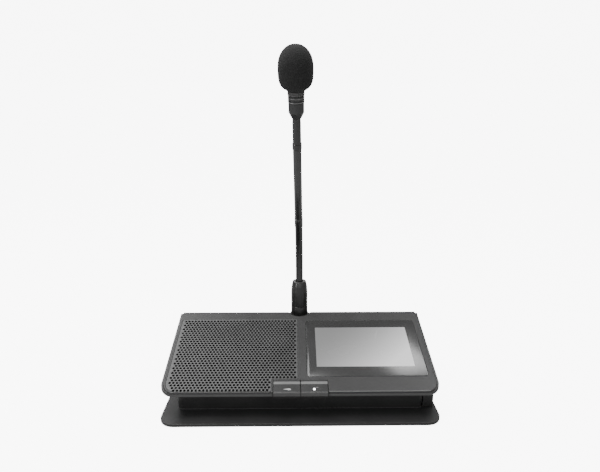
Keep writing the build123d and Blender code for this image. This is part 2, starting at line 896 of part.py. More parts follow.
def neck_part(plane, outline):
    """A round piece of the neck, from (radius, height) points above its plane."""
    with BuildPart() as piece:
        with BuildSketch(Plane(plane.origin, plane.x_dir, -plane.y_dir)):
            with BuildLine():
                Polyline(*outline, close=True)
            make_face()
        revolve(axis=Axis(plane.origin, plane.z_dir))
    return piece.part


# Neck socket in the cover's cup, with the lock ring around its nose
ring_top = seat_gap + ring_height
sleeve_bottom = ring_top + seat_gap
seat_plane = neck_plane(0, neck_seat, 0)
with BuildPart() as neck_socket:
    add(
        neck_part(
            seat_plane,
            (
                (0, -socket_depth),
                (socket_radius, -socket_depth),
                (socket_radius, 0),
                (nose_radius, 0),
                (nose_radius, sleeve_bottom),
                (plug_radius + hole_gap, sleeve_bottom),
                (plug_radius + hole_gap, -socket_bore_depth),
                (0, -socket_bore_depth),
            ),
        )
    )
neck_socket.part.label = "neck_socket"
export_step(neck_socket.part, "parts/neck_socket.step")

with BuildPart() as lock_ring:
    add(
        neck_part(
            seat_plane,
            (
                (nose_radius + hole_gap, seat_gap),
                (ring_radius, seat_gap),
                (ring_radius, ring_top),
                (nose_radius + hole_gap, ring_top),
            ),
        )
    )
lock_ring.part.label = "lock_ring"
export_step(lock_ring.part, "parts/lock_ring.step")

# Sleeve with the plug below it; the root of the neck stands in its bore
sleeve_top = sleeve_bottom + sleeve_height
root_seat = sleeve_top - sleeve_bore_depth
with BuildPart() as neck_sleeve:
    add(
        neck_part(
            seat_plane,
            (
                (0, -plug_reach),
                (plug_radius, -plug_reach),
                (plug_radius, sleeve_bottom),
                (ring_radius, sleeve_bottom),
                (ring_radius, sleeve_top - sleeve_shoulder),
                (sleeve_top_radius, sleeve_top),
                (flex_radius + hole_gap, sleeve_top),
                (flex_radius + hole_gap, root_seat),
                (0, root_seat),
            ),
        )
    )
neck_sleeve.part.label = "neck_sleeve"
export_step(neck_sleeve.part, "parts/neck_sleeve.step")


shoulder_drop = cup_lip * cos(joint_tilt) + flex_radius * sin(joint_tilt) + joint_gap
cup_floor = peg_rise * cos(joint_tilt) + peg_size / 2 * sin(joint_tilt) + joint_gap


def neck_section(plane, low, high):
    """A plain round length of the bendable neck above a plane."""
    with BuildPart() as section:
        with BuildSketch(plane.offset(low)):
            Circle(flex_radius)
        extrude(amount=high - low)
    return section.part


def joint_peg(plane, height):
    """The peg on a section's upper end, up to the centre of the joint and past it."""
    with BuildPart() as peg:
        with BuildSketch(plane.offset(height - shoulder_drop)):
            Rectangle(peg_size, peg_size)
        extrude(amount=shoulder_drop + peg_rise)
    return peg.part


def joint_cup(plane):
    """The hollow in a section's lower end, around the peg of the section below."""
    with BuildPart() as cup:
        with BuildSketch(plane.offset(-cup_lip)):
            Rectangle(cup_size, cup_size)
        extrude(amount=cup_lip + cup_floor)
    return cup.part


# Lower bendable section: its fixed root, and a section above each joint but the last
lower_step = lower_flex_length / lower_joints
root_length = sleeve_top - root_seat + lower_step / 2
root_plane = neck_plane(0, neck_seat + root_seat, 0)
with BuildPart() as neck_root:
    add(neck_section(root_plane, 0, root_length - shoulder_drop))
    add(joint_peg(root_plane, root_length))
neck_root.part.label = "neck_root"
export_step(neck_root.part, "parts/neck_root.step")

joint_run = 0.0
joint_height = neck_seat + sleeve_top + lower_step / 2
for index in range(1, lower_joints):
    lean = lower_bend * index / lower_joints
    link_plane = neck_plane(joint_run, joint_height, lean)
    with BuildPart() as lower_link:
        add(neck_section(link_plane, -cup_lip, lower_step - shoulder_drop))
        add(joint_peg(link_plane, lower_step))
        add(joint_cup(link_plane), mode=Mode.SUBTRACT)
    lower_link.part.label = f"lower_link_{index}"
    export_step(lower_link.part, f"parts/lower_link_{index}.step")
    joint_run += lower_step * sin(lean)
    joint_height += lower_step * cos(lean)

# Rigid stem: lower collar with the last cup, tube, and upper collar with the next peg
stem_plane = neck_plane(joint_run, joint_height, lower_bend)
collar_bottom = lower_step / 2
collar_top = collar_bottom + lower_collar_length
tube_top = collar_top + tube_length
upper_collar_top = tube_top + upper_collar_length
upper_step = upper_flex_length / upper_joints
upper_joint = upper_collar_top + upper_step / 2
with BuildPart() as lower_collar:
    add(neck_section(stem_plane, -cup_lip, collar_bottom))
    with BuildSketch(stem_plane.offset(collar_bottom)):
        Circle(lower_collar_radius)
    extrude(amount=lower_collar_length)
    add(joint_cup(stem_plane), mode=Mode.SUBTRACT)
lower_collar.part.label = "lower_collar"
export_step(lower_collar.part, "parts/lower_collar.step")

with BuildPart() as stem_tube:
    with BuildSketch(stem_plane.offset(collar_top)):
        Circle(tube_radius)
    extrude(amount=tube_length)
stem_tube.part.label = "stem_tube"
export_step(stem_tube.part, "parts/stem_tube.step")

with BuildPart() as upper_collar:
    with BuildSketch(stem_plane.offset(tube_top)):
        Circle(upper_collar_radius)
    extrude(amount=upper_collar_length)
    add(neck_section(stem_plane, upper_collar_top, upper_joint - shoulder_drop))
    add(joint_peg(stem_plane, upper_joint))
upper_collar.part.label = "upper_collar"
export_step(upper_collar.part, "parts/upper_collar.step")

# Upper bendable section, which eases back towards upright
upper_run = joint_run + upper_joint * sin(lower_bend)
upper_height = joint_height + upper_joint * cos(lower_bend)
link_lean = lower_bend - upper_ease / upper_joints
head_lean = lower_bend - upper_ease
upper_plane = neck_plane(upper_run, upper_height, link_lean)
with BuildPart() as upper_link:
    add(neck_section(upper_plane, -cup_lip, upper_step - shoulder_drop))
    add(joint_peg(upper_plane, upper_step))
    add(joint_cup(upper_plane), mode=Mode.SUBTRACT)
upper_link.part.label = "upper_link"
export_step(upper_link.part, "parts/upper_link.step")

# Microphone head: tapered cup, collar, light ring and capsule
head_run = upper_run + upper_step * sin(link_lean)
head_height = upper_height + upper_step * cos(link_lean)
head_plane = neck_plane(head_run, head_height, head_lean)
head_start = upper_step / 2
cup_top = head_start + cup_end_place
head_collar_top = head_start + collar_end
light_ring_top = head_start + light_ring_end
capsule_top = head_start + capsule_end
taper_rings = (
    (taper_start_radius, head_start + taper_start),
    (head_radius, head_start + taper_end),
)
taper_points = [
    head_plane.from_local_coords(Vector(radius * cos(turn), radius * sin(turn), height))
    for radius, height in taper_rings
    for turn in [radians(360) * side / taper_flats for side in range(taper_flats)]
]
with BuildPart() as mic_cup:
    ConvexPolyhedron(taper_points)
    add(neck_section(head_plane, -cup_lip, head_start + taper_start))
    with BuildSketch(head_plane.offset(head_start + taper_end)):
        Circle(head_radius)
    extrude(amount=cup_end_place - taper_end)
    add(joint_cup(head_plane), mode=Mode.SUBTRACT)
mic_cup.part.label = "mic_cup"
export_step(mic_cup.part, "parts/mic_cup.step")

with BuildPart() as head_collar:
    with BuildSketch(head_plane.offset(cup_top)):
        Circle(head_ring_radius)
    extrude(amount=head_collar_top - cup_top)
head_collar.part.label = "head_collar"
export_step(head_collar.part, "parts/head_collar.step")

with BuildPart() as light_ring:
    with BuildSketch(head_plane.offset(head_collar_top)):
        Circle(head_ring_radius)
        Circle(capsule_radius + hole_gap, mode=Mode.SUBTRACT)
    extrude(amount=light_ring_top - head_collar_top)
light_ring.part.label = "light_ring"
export_step(light_ring.part, "parts/light_ring.step")

with BuildPart() as mic_capsule:
    with BuildSketch(head_plane.offset(head_collar_top)):
        RegularPolygon(capsule_radius, side_count=inner_sides)
    extrude(amount=capsule_top - head_collar_top)
mic_capsule.part.label = "mic_capsule"
export_step(mic_capsule.part, "parts/mic_capsule.step")

# Foam windscreen pulled over the capsule: blunt above and below its widest place
foam_bottom = light_ring_top + foam_gap
foam_belly = foam_bottom + foam_length * foam_belly_share
foam_top = foam_bottom + foam_length


def foam_side(end, power_share, last_turn):
    """Rings (radius, height) of the foam from near one of its ends to its widest place."""
    rings = []
    for step in range(foam_steps, 0, -1):
        reach = sin(last_turn * step / foam_steps)
        radius = foam_radius * (1 - reach**power_share) ** (1 / power_share)
        rings.append((radius, foam_belly + (end - foam_belly) * reach))
    return rings


foam_rings = [(foam_bottom_radius, foam_bottom)]
foam_rings += foam_side(foam_bottom, foam_low_power_share, foam_last_turn)
foam_rings += [(foam_radius, foam_belly)]
foam_rings += reversed(foam_side(foam_top, foam_high_power_share, foam_last_turn))
foam_points = [
    head_plane.from_local_coords(
        Vector(radius * cos(turn), radius * sin(turn), height)
    )
    for radius, height in foam_rings
    for turn in [radians(360) * side / inner_sides for side in range(inner_sides)]
]
with BuildPart() as windscreen:
    ConvexPolyhedron(foam_points)
    with BuildSketch(head_plane.offset(foam_bottom)):
        RegularPolygon(capsule_radius + foam_gap, side_count=inner_sides)
    extrude(amount=capsule_top - foam_bottom + foam_gap, mode=Mode.SUBTRACT)
windscreen.part.label = "windscreen"
export_step(windscreen.part, "parts/windscreen.step")
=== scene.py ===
# %% [markdown]
# Conference delegate unit: a lesson in dressing a CAD model.
# The imported CAD model is loaded first, as a frame that this script never moves. Every
# later piece is made in metres, in the same place as the solid that it stands for, and
# rides on its body; the skins of the bendable neck are not attached to a body.

# %% Load the frame
import json
from math import atan2, cos, degrees, hypot, pi, radians, sin, tan

import bmesh
import bpy
from mathutils import Matrix, Vector, noise

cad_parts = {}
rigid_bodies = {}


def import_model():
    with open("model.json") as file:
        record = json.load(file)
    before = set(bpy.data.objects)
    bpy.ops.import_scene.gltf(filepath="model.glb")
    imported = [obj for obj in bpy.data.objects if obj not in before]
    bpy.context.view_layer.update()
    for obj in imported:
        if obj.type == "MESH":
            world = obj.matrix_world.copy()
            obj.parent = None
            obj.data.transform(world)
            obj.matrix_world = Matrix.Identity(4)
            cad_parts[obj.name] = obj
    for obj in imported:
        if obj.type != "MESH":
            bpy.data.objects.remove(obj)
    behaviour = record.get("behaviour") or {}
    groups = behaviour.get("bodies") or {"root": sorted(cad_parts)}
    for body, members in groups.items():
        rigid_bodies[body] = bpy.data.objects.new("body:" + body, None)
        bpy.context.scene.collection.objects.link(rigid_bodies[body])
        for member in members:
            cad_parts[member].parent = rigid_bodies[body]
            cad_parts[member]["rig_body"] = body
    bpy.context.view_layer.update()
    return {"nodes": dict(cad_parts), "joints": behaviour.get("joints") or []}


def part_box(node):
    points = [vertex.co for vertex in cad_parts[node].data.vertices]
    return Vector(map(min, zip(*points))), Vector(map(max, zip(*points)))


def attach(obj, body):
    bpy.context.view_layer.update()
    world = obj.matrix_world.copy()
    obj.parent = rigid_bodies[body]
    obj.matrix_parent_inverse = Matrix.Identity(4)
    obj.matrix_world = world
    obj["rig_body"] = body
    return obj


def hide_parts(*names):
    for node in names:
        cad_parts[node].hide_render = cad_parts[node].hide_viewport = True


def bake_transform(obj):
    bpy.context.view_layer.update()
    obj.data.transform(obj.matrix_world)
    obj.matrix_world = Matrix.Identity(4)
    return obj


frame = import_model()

mm = 0.001
joint_at = {j["name"]: Vector(j["pos_m"]) for j in frame["joints"] if "pos_m" in j}

# %% [markdown]
# A few helpers serve every later step. The first four put an object in the scene, turn a
# finished bmesh into a mesh, bridge two of its loops and shade it smooth. The others build
# node trees, which shaders and Geometry Nodes share.

# %% Helpers
def placed_object(name, data):
    """A new object in the scene, at the origin."""
    made = bpy.data.objects.new(name, data)
    bpy.context.scene.collection.objects.link(made)
    return made


def mesh_from(shape, name):
    """A mesh from a finished bmesh, which is freed."""
    mesh = bpy.data.meshes.new(name)
    shape.to_mesh(mesh)
    shape.free()
    return mesh


def bridge(shape, low, high):
    """Faces between two closed loops of corners, or from a loop to a single corner."""
    sides = max(len(low), len(high))
    for i in range(sides):
        k = (i + 1) % sides
        if len(low) == 1:
            shape.faces.new((low[0], high[k], high[i]))
        elif len(high) == 1:
            shape.faces.new((low[i], low[k], high[0]))
        else:
            shape.faces.new((low[i], low[k], high[k], high[i]))


def smooth_up_to(mesh, angle):
    """Smooth shading, broken where two faces meet at a larger angle, in degrees."""
    mesh.polygons.foreach_set("use_smooth", [True] * len(mesh.polygons))
    mesh.set_sharp_from_angle(angle=radians(angle))


def join(tree, start, end):
    """Links one socket to another."""
    tree.links.new(start, end)


def tree_node(tree, kind, inputs=(), **settings):
    """A node with its settings, and its inputs set or linked by name or number."""
    made = tree.nodes.new(kind)
    for name, value in settings.items():
        setattr(made, name, value)
    for name, value in dict(inputs).items():
        if isinstance(value, bpy.types.NodeSocket):
            join(tree, value, made.inputs[name])
        else:
            made.inputs[name].default_value = value
    return made


def node_group(name, kind, inputs, outputs):
    """A node group with named inputs, some with a usual value, and named outputs."""
    tree = bpy.data.node_groups.new(name, kind)
    for label, value_type, *usual in inputs:
        socket = tree.interface.new_socket(label, in_out="INPUT",
                                           socket_type="NodeSocket" + value_type)
        if usual:
            socket.default_value = usual[0]
    for label, value_type in outputs:
        tree.interface.new_socket(label, in_out="OUTPUT",
                                  socket_type="NodeSocket" + value_type)
    return tree, tree.nodes.new("NodeGroupInput").outputs, tree.nodes.new("NodeGroupOutput")


def rgba(shade):
    """A colour with full alpha, from one grey value or from red, green and blue."""
    return (*shade, 1) if isinstance(shade, tuple) else (shade, shade, shade, 1)


# %% [markdown]
# The camera stands in front, high above the housing but a little lower than the foam, and
# looks slightly down and to the right, as the photograph was taken. Its lens follows from
# a focal length in pixels and the width of the picture.

# %% Camera
photo_width = 600
focal_pixels = 486.0
camera_down, camera_right = 13.7, 0.69
camera_data = bpy.data.cameras.new("studio_camera")
camera_data.sensor_fit = "HORIZONTAL"
camera_data.sensor_width = 36.0
camera_data.lens = focal_pixels / photo_width * camera_data.sensor_width
camera_data.clip_start = 0.01
camera_data.dof.use_dof = False
camera = placed_object("studio_camera", camera_data)
camera.location = Vector((-5.4, -462.7, 274.0)) * mm
camera.rotation_euler = (radians(90 - camera_down), 0, radians(-camera_right))
bpy.context.scene.camera = camera
print("lens", round(camera_data.lens, 2), "mm")

# %% [markdown]
# A pale sweep is floor and background in one. Its brightness for the camera is raised with
# an emission that only camera rays see, so the white background doesn't wash out the black
# parts by its reflection. The same is done for the world behind it.

# %% Floor, background and lights
floor_shade, floor_glow = 0.42, 8.0
world_light, world_glow = 0.45, 9.0


def pale_finish():
    """The pale floor: it takes soft shadows and looks white to the camera."""
    material = bpy.data.materials.new("pale_floor")
    material.use_nodes = True
    tree = material.node_tree
    tree.nodes.clear()
    diffuse = tree_node(tree, "ShaderNodeBsdfDiffuse", {"Color": rgba(floor_shade)})
    path = tree_node(tree, "ShaderNodeLightPath")
    strength = tree_node(tree, "ShaderNodeMath",
                         {0: path.outputs["Is Camera Ray"], 1: floor_glow},
                         operation="MULTIPLY")
    glow = tree_node(tree, "ShaderNodeEmission", {"Strength": strength.outputs[0]})
    both = tree_node(tree, "ShaderNodeAddShader", {0: diffuse.outputs[0], 1: glow.outputs[0]})
    tree_node(tree, "ShaderNodeOutputMaterial", {"Surface": both.outputs[0]})
    return material


def pale_sweep():
    """One sheet that lies flat under the unit and curves up far behind it."""
    half_width, front, bend_start, bend_radius, top, steps = 4.0, -3.0, 1.2, 1.2, 4.0, 12
    profile = [(front, 0.0), (bend_start, 0.0)]
    for step in range(1, steps + 1):
        turn = radians(90) * step / steps
        profile.append((bend_start + bend_radius * sin(turn),
                        bend_radius - bend_radius * cos(turn)))
    profile.append((bend_start + bend_radius, top))
    shape = bmesh.new()
    rows = [[shape.verts.new((x, y, z)) for x in (-half_width, half_width)]
            for y, z in profile]
    for low, high in zip(rows, rows[1:]):
        shape.faces.new((low[0], low[1], high[1], high[0]))
    mesh = mesh_from(shape, "pale_sweep")
    mesh.materials.append(pale_finish())
    mesh.polygons.foreach_set("use_smooth", [True] * len(mesh.polygons))
    placed_object("pale_sweep", mesh)


def soft_light(name, place, aim, size, power):
    """A soft area light at a place, aimed at a point; all in metres and watts."""
    data = bpy.data.lights.new(name, "AREA")
    data.shape = "RECTANGLE"
    data.size, data.size_y = size
    data.energy = power
    light = placed_object(name, data)
    light.location = place
    light.rotation_euler = (Vector(aim) - Vector(place)).to_track_quat("-Z", "Y").to_euler()


pale_sweep()
world = bpy.data.worlds.new("studio_world")
bpy.context.scene.world = world
world.use_nodes = True
world_tree = world.node_tree
world_path = tree_node(world_tree, "ShaderNodeLightPath")
world_strength = tree_node(world_tree, "ShaderNodeMapRange", {
    "Value": world_path.outputs["Is Camera Ray"], "To Min": world_light, "To Max": world_glow,
})
background = world_tree.nodes["Background"]
background.inputs["Color"].default_value = rgba(1.0)
join(world_tree, world_strength.outputs["Result"], background.inputs["Strength"])
soft_light("key_left", (-0.45, 0.0, 1.45), (0, 0, 0.05), (0.7, 0.7), 12)
soft_light("top_front", (-0.1, -0.25, 1.4), (0, -0.05, 0.03), (1.1, 0.45), 14)
soft_light("side_strip", (-0.75, -0.6, 0.5), (0, 0, 0.12), (0.12, 0.8), 5)
soft_light("front_fill", (0.1, -1.5, 0.35), (0, 0, 0.05), (1.4, 0.3), 3)
soft_light("fill_right", (1.3, -0.9, 0.7), (0, 0, 0.1), (0.8, 0.8), 2)
soft_light("screen_glare", (0.70, 0.36, 1.38), (0.12, -0.05, 0.04), (0.42, 0.34), 7)
soft_light("back_left", (-0.75, 0.8, 1.2), (-0.1, 0.02, 0.05), (0.6, 0.4), 9)
soft_light("back_panel", (0, 2.1, 0.6), (0, 0, 0.15), (3.0, 1.2), 15)
print("lights", len(bpy.data.lights))

# %% [markdown]
# Most of the unit is moulded plastic, coated metal or rubber. What they share is a fine
# grain and faint handling marks, so these two effects are made once, as shader groups with
# named inputs, and every finish places them with its own values.

# %% Shader groups for grain and handling
def object_place(tree):
    """The place on the surface, in the object's own coordinates."""
    return tree_node(tree, "ShaderNodeTexCoord").outputs["Object"]


def grain_group():
    """Fine moulded grain: a height that changes over the surface."""
    tree, start, end = node_group(
        "moulded_grain", "ShaderNodeTree",
        [("Grain Scale", "Float", 2500.0), ("Grain Softness", "Float", 0.5)],
        [("Height", "Float")])
    where = {"Vector": object_place(tree), "Scale": start["Grain Scale"]}
    coarse = tree_node(tree, "ShaderNodeTexNoise", {**where, "Detail": 3.0})
    cells = tree_node(tree, "ShaderNodeTexVoronoi", {"Smoothness": 0.6, **where},
                      feature="SMOOTH_F1")
    blend = tree_node(tree, "ShaderNodeMix", {
        "Factor": start["Grain Softness"], "A": cells.outputs["Distance"],
        "B": coarse.outputs["Fac"],
    }, data_type="FLOAT")
    join(tree, blend.outputs["Result"], end.inputs["Height"])
    return tree


def handling_group():
    """Faint smudges and dust: one soft mask, from 0 to 1."""
    tree, start, end = node_group(
        "handling_marks", "ShaderNodeTree",
        [("Mark Scale", "Float", 30.0), ("Contrast", "Float", 0.2)], [("Mask", "Float")])
    cloud = tree_node(tree, "ShaderNodeTexNoise", {
        "Vector": object_place(tree), "Scale": start["Mark Scale"], "Detail": 4.0,
        "Distortion": 0.6,
    })
    middle = 0.5
    low = tree_node(tree, "ShaderNodeMath", {0: middle, 1: start["Contrast"]},
                    operation="SUBTRACT")
    high = tree_node(tree, "ShaderNodeMath", {0: middle, 1: start["Contrast"]})
    spread = tree_node(tree, "ShaderNodeMapRange", {
        "Value": cloud.outputs["Fac"], "From Min": low.outputs[0], "From Max": high.outputs[0],
    }, interpolation_type="SMOOTHSTEP")
    join(tree, spread.outputs["Result"], end.inputs["Mask"])
    return tree


grain = grain_group()
handling = handling_group()
print("shader groups", grain.name, handling.name)

# %% [markdown]
# A coated finish is one Principled shader. The handling mask moves its colour and its
# roughness a little, and the grain feeds its bump. The distance of the bump is in metres.

# %% Coated finishes
def plain_shader(name, **values):
    """A new material, its node tree, and its Principled shader with some inputs set."""
    material = bpy.data.materials.new(name)
    material.use_nodes = True
    shader = material.node_tree.nodes["Principled BSDF"]
    for label, value in values.items():
        shader.inputs[label.replace("_", " ")].default_value = value
    return material, material.node_tree, shader


def handling_mask(tree, scale, contrast=0.3):
    """The mask of the handling marks, placed with its own scale."""
    placed = tree_node(tree, "ShaderNodeGroup", {"Mark Scale": scale, "Contrast": contrast},
                       node_tree=handling)
    return placed.outputs["Mask"]


def shaded(tree, shader, mask, shades, socket="Base Color"):
    """A colour between two shades, moved by a mask."""
    mix = tree_node(tree, "ShaderNodeMix",
                    {"A": rgba(shades[0]), "B": rgba(shades[1]), "Factor": mask},
                    data_type="RGBA")
    join(tree, mix.outputs["Result"], shader.inputs[socket])


def roughened(tree, shader, mask, rough):
    """A roughness between two values, moved by a mask."""
    spread = tree_node(tree, "ShaderNodeMapRange",
                       {"To Min": rough[0], "To Max": rough[1], "Value": mask})
    join(tree, spread.outputs["Result"], shader.inputs["Roughness"])


def bumped(tree, shader, height, distance, strength=1.0):
    """A bump from a height, with its distance in metres."""
    bump = tree_node(tree, "ShaderNodeBump",
                     {"Height": height, "Distance": distance, "Strength": strength})
    join(tree, bump.outputs["Normal"], shader.inputs["Normal"])


def coated(name, shades, rough, metal=0.0, scale=2500.0, height=0.00002, coat=0.0, level=0.5):
    """A moulded or coated finish: two shades, a roughness range, a grain and handling."""
    material, tree, shader = plain_shader(name, Metallic=metal, Coat_Weight=coat,
                                          Specular_IOR_Level=level)
    mask = handling_mask(tree, 30.0, 0.25)
    grained = tree_node(tree, "ShaderNodeGroup", {"Grain Scale": scale}, node_tree=grain)
    bumped(tree, shader, grained.outputs["Height"], height)
    shaded(tree, shader, mask, shades)
    roughened(tree, shader, mask, rough)
    return material


# Two shades and a roughness range for each, and what else differs from a plain moulding
coated_rows = {
    "cover_grey": ((0.021, 0.024), (0.38, 0.46), {"scale": 1800.0, "level": 0.34}),
    "grille_grey": ((0.040, 0.048), (0.36, 0.44), {}),
    "housing_black": ((0.009, 0.012), (0.45, 0.55), {}),
    "plate_black": ((0.018, 0.022), (0.36, 0.44), {"scale": 3200.0, "level": 0.3}),
    "neck_black": ((0.003, 0.005), (0.2, 0.28), {"coat": 0.3, "height": 0.000004}),
    "sleeve_black": ((0.010, 0.013), (0.26, 0.34), {"height": 0.000008}),
    "button_grey": ((0.012, 0.015), (0.36, 0.44), {"scale": 2600.0, "level": 0.34}),
    "rubber": ((0.010, 0.014), (0.8, 0.9), {"scale": 1500.0}),
    "bright_steel": ((0.55, 0.62), (0.24, 0.34), {"metal": 1.0, "height": 0.000004}),
    "socket_black": ((0.008, 0.011), (0.35, 0.5), {}),
    "contact_gold": (((0.72, 0.5, 0.19), (0.8, 0.58, 0.24)), (0.2, 0.3),
                     {"metal": 1.0, "height": 0.000002}),
    "board_green": (((0.008, 0.07, 0.03), (0.01, 0.09, 0.04)), (0.3, 0.4), {}),
    "chip_black": ((0.01, 0.016), (0.45, 0.6), {}),
    "shield_tin": ((0.4, 0.5), (0.35, 0.45), {"metal": 1.0}),
    "cone_paper": ((0.012, 0.02), (0.7, 0.85), {"scale": 900.0}),
    "mask_black": ((0.004, 0.005), (0.3, 0.4), {}),
    "mark_white": ((0.34, 0.4), (0.4, 0.5), {}),
    # A pale grey for painted highlights on the cover's front edge and on the caps; also the
    # print of the speak mark
    "highlight_and_print_grey": ((0.09, 0.11), (0.4, 0.5), {"scale": 2600.0}),
    # Black for painted shade in the cover's step, on the caps' skirts and inside the grille's
    # holes; also the print of the mute lines
    "shade_and_print_black": ((0.003, 0.005), (0.6, 0.7), {}),
    # A lighter copy of the cover grey: front faces painted as lit
    "painted_lit_grey": ((0.05, 0.056), (0.42, 0.5), {"scale": 1800.0, "level": 0.34}),
    # A paler grey for the painted highlight along the housing's foot
    "foot_highlight_grey": ((0.04, 0.046), (0.4, 0.5), {}),
    "stem_grey": ((0.012, 0.016), (0.18, 0.26), {"coat": 0.4, "height": 0.000004}),
    "dark_steel": ((0.2, 0.24), (0.28, 0.36), {"metal": 1.0, "height": 0.000004}),
}
finishes = {name: coated(name, shades, rough, **others)
            for name, (shades, rough, others) in coated_rows.items()}
print("coated finishes", len(finishes))

# %% [markdown]
# The glass border, the lit screen, the light ring, the small lamp, the foam and the dust
# cloth need something of their own: gloss, emission, transmission, or open pores.

# %% Special finishes
def border_finish():
    """The black print of the glass, seen as a dark glossy border."""
    material, tree, shader = plain_shader("glass_border")
    mask = handling_mask(tree, 14.0)
    roughened(tree, shader, mask, (0.14, 0.18))
    shaded(tree, shader, mask, (0.026, 0.030))
    return material


def screen_finish():
    """The lit screen: a plain grey page, brighter to the lower right; the brightening is
    partly the page's own light and partly painted glare.
    """
    material, tree, shader = plain_shader("lit_screen", Base_Color=rgba(0.06),
                                          Emission_Strength=1.0)
    split = tree_node(tree, "ShaderNodeSeparateXYZ", {0: object_place(tree)})
    # How far a place lies to the right and to the front, together from 0 to 1.2
    page_left, page_right, right_share = 0.016, 0.111, 0.75
    page_back, page_front, front_share = 0.014, -0.037, 0.45
    across = tree_node(tree, "ShaderNodeMapRange", {
        "Value": split.outputs["X"], "From Min": page_left, "From Max": page_right,
        "To Max": right_share,
    })
    front = tree_node(tree, "ShaderNodeMapRange", {
        "Value": split.outputs["Y"], "From Min": page_back, "From Max": page_front,
        "To Max": front_share,
    })
    both = tree_node(tree, "ShaderNodeMath",
                     {0: across.outputs["Result"], 1: front.outputs["Result"]})
    # The page brightens sharply towards the lower right: partly its own light, partly painted
    # glare
    curve = tree_node(tree, "ShaderNodeMath", {0: both.outputs[0], 1: 2.6}, operation="POWER")
    shaded(tree, shader, curve.outputs[0], (0.18, 1.05), "Emission Color")
    roughened(tree, shader, handling_mask(tree, 20.0), (0.22, 0.3))
    return material


def ring_finish():
    """The light ring, unlit: cloudy plastic that lets some light through."""
    material, tree, shader = plain_shader("light_ring_plastic", Transmission_Weight=0.3,
                                          IOR=1.45)
    mask = handling_mask(tree, 60.0)
    roughened(tree, shader, mask, (0.2, 0.3))
    shaded(tree, shader, mask, (0.04, 0.06))
    return material


def lamp_finish():
    """The small lamp in the right button: a white light behind a frosted lens."""
    material, tree, shader = plain_shader("lamp_white", Base_Color=rgba(0.8),
                                          Emission_Strength=6.0)
    mask = handling_mask(tree, 400.0)
    roughened(tree, shader, mask, (0.25, 0.35))
    shaded(tree, shader, mask, (0.9, 1.0), "Emission Color")
    return material


def foam_finish():
    """Open foam: dark, matt, with fine pores in its bump. The colour is darker in each pore's
    hollow: painted shade.
    """
    material, tree, shader = plain_shader(
        "windscreen_foam", Roughness=0.95, Specular_IOR_Level=0.1, Sheen_Weight=0.03,
        Sheen_Roughness=0.6)
    place = object_place(tree)
    pores = tree_node(tree, "ShaderNodeTexVoronoi", {"Vector": place, "Scale": 1400.0})
    ripple = tree_node(tree, "ShaderNodeTexNoise",
                       {"Vector": place, "Scale": 500.0, "Detail": 4.0})
    depth = tree_node(tree, "ShaderNodeMath",
                      {0: pores.outputs["Distance"], 1: ripple.outputs["Fac"]})
    bumped(tree, shader, depth.outputs[0], 0.0004, 0.8)
    # Painted shade: darker where the pores sink in, by the same pattern as the bump
    shaded(tree, shader, pores.outputs["Distance"], (0.012, 0.028))
    return material


def cloth_finish():
    """The dust cloth behind the grille: a black plain weave."""
    material, tree, shader = plain_shader("dust_cloth", Roughness=0.9, Specular_IOR_Level=0.1)
    weave = tree_node(tree, "ShaderNodeTexChecker", {
        "Vector": object_place(tree), "Scale": 2500.0, "Color1": rgba(0.003),
        "Color2": rgba(0.007),
    })
    join(tree, weave.outputs["Color"], shader.inputs["Base Color"])
    bumped(tree, shader, weave.outputs["Fac"], 0.00005)
    return material


for make in (border_finish, screen_finish, ring_finish, lamp_finish, foam_finish,
             cloth_finish):
    made = make()
    finishes[made.name] = made
print("all finishes", len(finishes))

# %% [markdown]
# Hidden and simple CAD nodes keep their own shape and only get a finish. The flat table
# below says which; a node that is replaced later is not in it.

# %% Finishes of the CAD nodes that stay
node_finish = {
    "rubber_feet": "rubber",
    "case_screws": "bright_steel",
    "main_board": "board_green",
    "board_parts": "shield_tin",
    "button_board": "board_green",
    "tact_switches": "chip_black",
    "speaker_frame": "bright_steel",
    "speaker_magnet": "bright_steel",
    "speaker_cone": "cone_paper",
    "display_bracket": "bright_steel",
    "display_module": "mask_black",
    "display_screen": "lit_screen",
    "neck_socket": "sleeve_black",
    "mic_capsule": "bright_steel",
    "mute_plunger": "chip_black",
    "speak_plunger": "chip_black",
    "speak_light": "lamp_white",
}
for node_name, finish_name in node_finish.items():
    for place in frame["nodes"][node_name].material_slots:
        place.material = finishes[finish_name]
print("CAD nodes that keep their shape", len(node_finish))

# %% [markdown]
# A CAD solid has razor edges, and a moulded or pressed piece never has. For the housing
# pieces the solid is copied, its loose triangles are welded, flat faces are joined again,
# and a narrow bevel catches the light along each edge.

# %% Softened copies of the CAD pieces
def new_piece(name, mesh, finish_name):
    """A linked object for a mesh, with its finish; it sits at the origin."""
    mesh.materials.clear()
    mesh.materials.append(finishes[finish_name])
    return placed_object(name, mesh)


def plain_mesh(piece):
    """Makes all the modifiers of a piece real."""
    graph = bpy.context.evaluated_depsgraph_get()
    mesh = bpy.data.meshes.new_from_object(piece.evaluated_get(graph), depsgraph=graph)
    piece.modifiers.clear()
    piece.data = mesh


def show_count(piece):
    """Prints how many triangles the piece's mesh comes to."""
    piece.data.calc_loop_triangles()
    print(piece.name, len(piece.data.loop_triangles), "triangles")


def bevelled(piece, width, angle, **settings):
    """Gives the piece a narrow bevel along its sharp edges, and smooth shading."""
    bevel = piece.modifiers.new("edge", "BEVEL")
    bevel.width = width
    bevel.segments = 2
    bevel.limit_method = "ANGLE"
    bevel.angle_limit = radians(angle)
    for name, value in settings.items():
        setattr(bevel, name, value)
    plain_mesh(piece)
    smooth_up_to(piece.data, 40)


